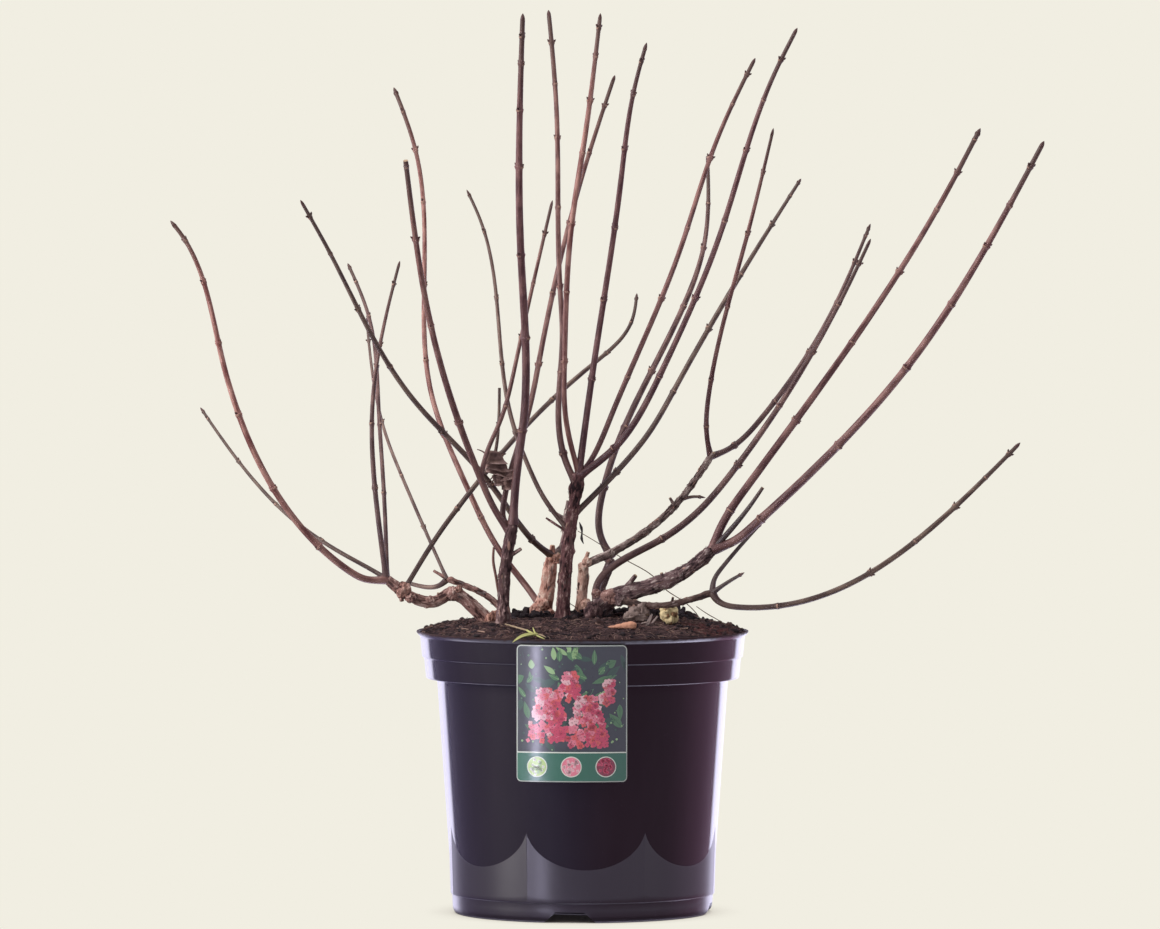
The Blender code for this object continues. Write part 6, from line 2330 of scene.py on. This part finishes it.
@dataclass
class DryRemains:
    """A crumpled leaf caught among the canes, and dry stalks lying over the old wood."""

    depth: float = 6.5
    leaf_y: float = -52.0
    thickness: float = 0.35
    collars: tuple[tuple[float, ...], ...] = (
        (-75.4, 390.0, -73.0, 379.0, 5.6, 9.2, -4.0),
        (-74.2, 384.0, -71.2, 373.6, 7.8, 10.4, -8.0),
        (-71.6, 378.0, -69.0, 369.0, 8.6, 9.6, -14.0),
        (-70.4, 370.5, -69.2, 361.0, 5.6, 3.4, 6.0),
        (-63.0, 374.0, -64.0, 366.0, 5.6, 7.6, 10.0),
        (-63.6, 368.5, -62.8, 357.6, 6.0, 3.8, 4.0),
    )
    seed: int = 41

    def build(self) -> None:
        """Make the leaf and the stalks."""
        self._build_leaf()
        self._build_stalks()

    def _build_leaf(self) -> None:
        """Roll the crumpled blade in collars, each tucked over the next."""
        shape = Shape()
        for number, (x0, z0, x1, z1, head, foot, lean) in enumerate(self.collars):
            down = np.linspace(0.0, 1.0, 32)[:, None]
            turn = np.linspace(-3.5, 2.7, 56)[None]
            spot = triples(2.0 * down, 1.6 * turn, 5.0 * number)
            noise = Grain(self.seed + number)
            crumple = noise.layers(spot, 1.1, 3, 0.6)
            pleats = np.sin(down * 15.0 + 1.6 * crumple + 0.7 * np.sin(turn + number))
            flare = 0.16 * np.clip((down - 0.72) / 0.28, 0.0, 1.0) ** 1.5
            reach = 1.0 + flare + 0.13 * crumple + 0.016 * pleats - 0.04 * turn / 3.0
            reach = reach * np.clip(down / 0.12, 0.35, 1.0) ** 0.4
            half = (head + (foot - head) * down) * reach
            side = half * np.sin(turn)
            edge = 1.2 * noise.layers(spot * (0.0, 1.0, 1.0), 1.3, 2) * down
            depth = self.depth * reach * (0.75 + 0.25 * down) * np.cos(turn) * half / foot
            grid = triples(
                x0 + (x1 - x0) * down + side,
                self.leaf_y - depth,
                z0 + (z1 - z0) * down + side * math.tan(math.radians(lean)) + edge)
            grain = triples(12.0 * down, 5.0 * turn, 8.0 * number)
            # Painted shade: the level is low near each collar's top, under the collar above, and in the
            # pleats' hollows, so the finish darkens it there.
            level = np.clip(0.24 + 0.40 * down ** 2 + 0.08 * pleats + 0.36 * crumple, 0.0, 1.0)
            shape.add_sheet(grid, self.thickness, 0, {"grain": grain, "relief": level})
        blade = WitheredBlade().material()
        shape.build("withered_leaf_roll", [blade], "withered_leaf", ["dead_leaf"], crease=70.0)
        stalk = Shape()
        for places, widths in ((((-80, -52, 386), (-83, -50, 389), (-88, -49, 391)), (1.6, 1.3, 0.8)),
                               (((-75, -52, 368), (-79, -53, 364.5), (-83.5, -54, 363.5)), (1.2, 0.9, 0.5)),
                               (((-74, -53, 366), (-77, -54, 361.5), (-79, -54, 359)), (1.4, 1.1, 0.5))):
            stalk.add_tube(strand(places, widths, 7, 14), 0)
        brown = Speck("leaf_stalk", tint(88, 64, 58), 0.8).material()
        stalk.build("withered_leaf_stalk", [brown], "withered_leaf")

    def _build_stalks(self) -> None:
        """Lay the thin dry stalks over the wood and hang the dark scrap on one of them."""
        stalks = Shape()
        for places, widths, sides, rings, mark in (
                (((-4, 30, 319.5), (13, 27, 309.5), (38, 19, 294.6), (62, 9, 279.8), (69, 5, 272.2),
                  (82, -3, 263.6), (95, -10, 252.6), (99, -13, 247.0)), (0.7, 0.9, 1.0, 0.8), 6, 90, 0),
                (((96, 2, 257.0), (106, -4, 250.5), (116, -10, 245.0), (121, -13, 241.5)),
                 (0.7, 0.9, 0.6), 6, 36, 0),
                (((-14, -4, 262), (-4, 4, 255), (4, 10, 248.5)), (0.7, 0.8, 0.6), 6, 24, 0),
                (((-74, -55, 309.5), (-74.5, -55, 298), (-72.5, -55, 286), (-70.8, -54, 275),
                  (-68.5, -53, 262)), (2.0, 2.5, 2.3, 1.5), 7, 40, 1)):
            stalks.add_tube(strand(places, widths, sides, rings), mark)
        tones = [Speck("stalk_tan", tint(120, 98, 84), 0.75), Speck("stalk_brown", tint(112, 78, 70), 0.75)]
        stalks.build("dry_stalks", [tone.material() for tone in tones], "old_wood", crease=60.0)
        scrap = Shape()
        places = ((-2.6, 29, 327.0), (-1.6, 29.5, 324.0), (-0.4, 29.5, 318.5), (-0.8, 29, 314.0),
                  (1.0, 28.5, 308.5))
        scrap.add_tube(strand(places, (0.6, 2.6, 1.2, 2.4, 0.5), 8, 40), 0)
        black = Speck("scrap_black", tint(32, 26, 26), 0.7).material()
        scrap.build("dark_scrap", [black], "withered_leaf")


# --- Studio ---------------------------------------------------------------------------------

@dataclass
class Studio:
    """Pale floor and backdrop, soft light, and the camera."""

    cream: Colour = tint(241, 238, 226)
    camera_place: Vec = (-0.0021, -6.5, 0.592)
    camera_pitch: float = 1.897
    lens: float = 239.83
    sensor: float = 36.0
    floor_size: float = 30.0

    def build(self) -> None:
        """Set the camera, floor, lights and surroundings."""
        bpy.context.scene.view_settings.view_transform = "Standard"
        self._set_camera()
        self._set_floor()
        self._set_lights()
        self._set_world()

    def _set_camera(self) -> None:
        """Make the camera and use it."""
        data = bpy.data.cameras.new("camera")
        data.lens, data.sensor_width = self.lens, self.sensor
        data.clip_end = 100.0
        camera = bpy.data.objects.new("camera", data)
        camera.location = self.camera_place
        camera.rotation_euler = (math.pi / 2.0 - math.radians(self.camera_pitch), 0.0, 0.0)
        bpy.context.scene.collection.objects.link(camera)
        bpy.context.scene.camera = camera

    def _set_floor(self) -> None:
        """Make the pale floor, with only a soft shade close round the pot."""
        half = self.floor_size / 2.0
        mesh = bpy.data.meshes.new("floor")
        mesh.from_pydata([(-half, -half, 0.0), (half, -half, 0.0), (half, half, 0.0), (-half, half, 0.0)],
                         [], [(0, 1, 2, 3)])
        paint = FinishPaint("floor_paper")
        shade = paint.node("ShaderNodeAmbientOcclusion", {"samples": 8}, {"Distance": 0.06}, output="AO")
        tree = paint.tree
        glow = tree.nodes.new("ShaderNodeEmission")
        pale = paint.blend(shade.rise(0.30, 0.75), tint(206, 200, 190), self.cream)
        paint.feed(glow.inputs["Color"], paint.blend(shade.rise(0.05, 0.42), tint(16, 13, 16), pale))
        tree.links.new(glow.outputs[0], tree.nodes["Material Output"].inputs["Surface"])
        paint.material.cycles.emission_sampling = "NONE"
        mesh.materials.append(paint.material)
        floor = bpy.data.objects.new("floor", mesh)
        floor.location = (0.0, 0.0, -0.0004)
        floor.visible_glossy = False
        floor.visible_diffuse = False
        floor.visible_shadow = False
        bpy.context.scene.collection.objects.link(floor)

    def _set_lights(self) -> None:
        """Hang the soft lights: key at the left, weaker fill at the right, top light."""
        for name, place, size, power, colour in (
                ("key", (-2.1, -0.9, 0.9), (0.9, 2.0), 55.0, (1.0, 0.965, 0.95)),
                ("fill", (2.2, -1.2, 0.9), (1.0, 1.6), 7.0, (0.98, 0.97, 1.0)),
                ("top", (-0.3, 0.2, 2.4), (2.0, 1.6), 26.0, (1.0, 0.99, 0.97))):
            data = bpy.data.lights.new(name, "AREA")
            data.shape = "RECTANGLE"
            data.size, data.size_y = size
            data.energy = power
            data.color = colour
            lamp = bpy.data.objects.new(name, data)
            lamp.location = place
            aim = Vector((0.0, 0.0, 0.33)) - Vector(place)
            lamp.rotation_euler = aim.to_track_quat("-Z", "Y").to_euler()
            lamp.visible_camera = False
            bpy.context.scene.collection.objects.link(lamp)

    def _set_world(self) -> None:
        """Paint the surroundings: cream to the eye, a studio's bright panels to glossy plastic."""
        world = bpy.data.worlds.new("studio")
        world.use_nodes = True
        bpy.context.scene.world = world
        tree = world.node_tree
        tree.nodes.clear()
        paint = Paint(tree)
        direction = paint.node("ShaderNodeTexCoord", output="Generated")
        x, y, z = (paint.axis(direction, name) for name in "XYZ")
        degrees = 180.0 / math.pi
        level = (x * x + y * y) ** 0.5
        rise = z.arctan2(level) * degrees
        turn = abs(x).arctan2(0.0 - y) * degrees
        side = x.arctan2(0.0 - y) * degrees
        horizon = (0.5 - 0.5 * y / level) ** 0.5 * -5.7 - 3.05
        above = (rise - horizon).rise(-0.5, 0.8) * rise.fall(8.0, 30.0)
        glow = side.rise(70.0, 112.0) * 0.40 + 0.46
        front = above * (1.1 - 0.72 * turn.rise(40.0, 132.0)) + glow
        behind = turn.rise(140.5, 148.0) * (1.0 + 2.4 * turn.fall(140.0, 176.0)) * rise.rise(-26.0, -9.0)
        behind = behind * rise.fall(4.0, 16.0)
        wedge = side.rise(-35.8, -33.6) * side.fall(-32.2, -29.6)
        wedge = wedge * rise.rise(-10.4, -9.0) * rise.fall(0.0, 8.0)
        low = rise.fall(-58.0, -30.0)
        shifted = turn - side.fall(-20.0, 20.0) * 10.0
        low = low * (1.0 + 6.0 * shifted.rise(118.0, 142.0))
        sky = rise.rise(10.0, 45.0) * 0.18
        haze = paint.blend(side.rise(-30.0, 30.0), tint(180, 164, 226), tint(182, 128, 164))
        tone = paint.blend((above + behind + wedge + low).at_most(1.0), haze, tint(226, 222, 250))
        glossy = paint.node("ShaderNodeBackground", sockets={
            "Color": tone, "Strength": front + behind + wedge * 30.0 + low + sky})
        soft = paint.node("ShaderNodeBackground", sockets={
            "Color": (1.0, 0.985, 0.96), "Strength": 0.30 + 0.10 * z})
        eye = paint.node("ShaderNodeBackground", sockets={"Color": self.cream, "Strength": 1.0})
        is_glossy = paint.node("ShaderNodeLightPath", output="Is Glossy Ray")
        is_camera = paint.node("ShaderNodeLightPath", output="Is Camera Ray")
        mixed = self._mix(paint, is_glossy, soft, glossy)
        final = self._mix(paint, is_camera, mixed, eye)
        out = tree.nodes.new("ShaderNodeOutputWorld")
        tree.links.new(final.socket, out.inputs["Surface"])

    @staticmethod
    def _mix(paint: Paint, mask: Signal, first: Signal, second: Signal) -> Signal:
        """Mix two shaders."""
        return paint.node("ShaderNodeMixShader", sockets={0: mask, 1: first, 2: second})


def main() -> None:
    """Build the plant, its pot and the studio, in order."""
    logging.basicConfig(level=logging.INFO, format="%(name)s: %(message)s")
    skeleton = Skeleton(OLD_WOOD + CANES)
    Studio().build()
    NurseryPot().build()
    PictureCard().build()
    Compost().build()
    OldStems(skeleton).build(OLD_WOOD)
    YoungCanes(skeleton).build(CANES)
    DryRemains().build()


if __name__ == "__main__":
    main()
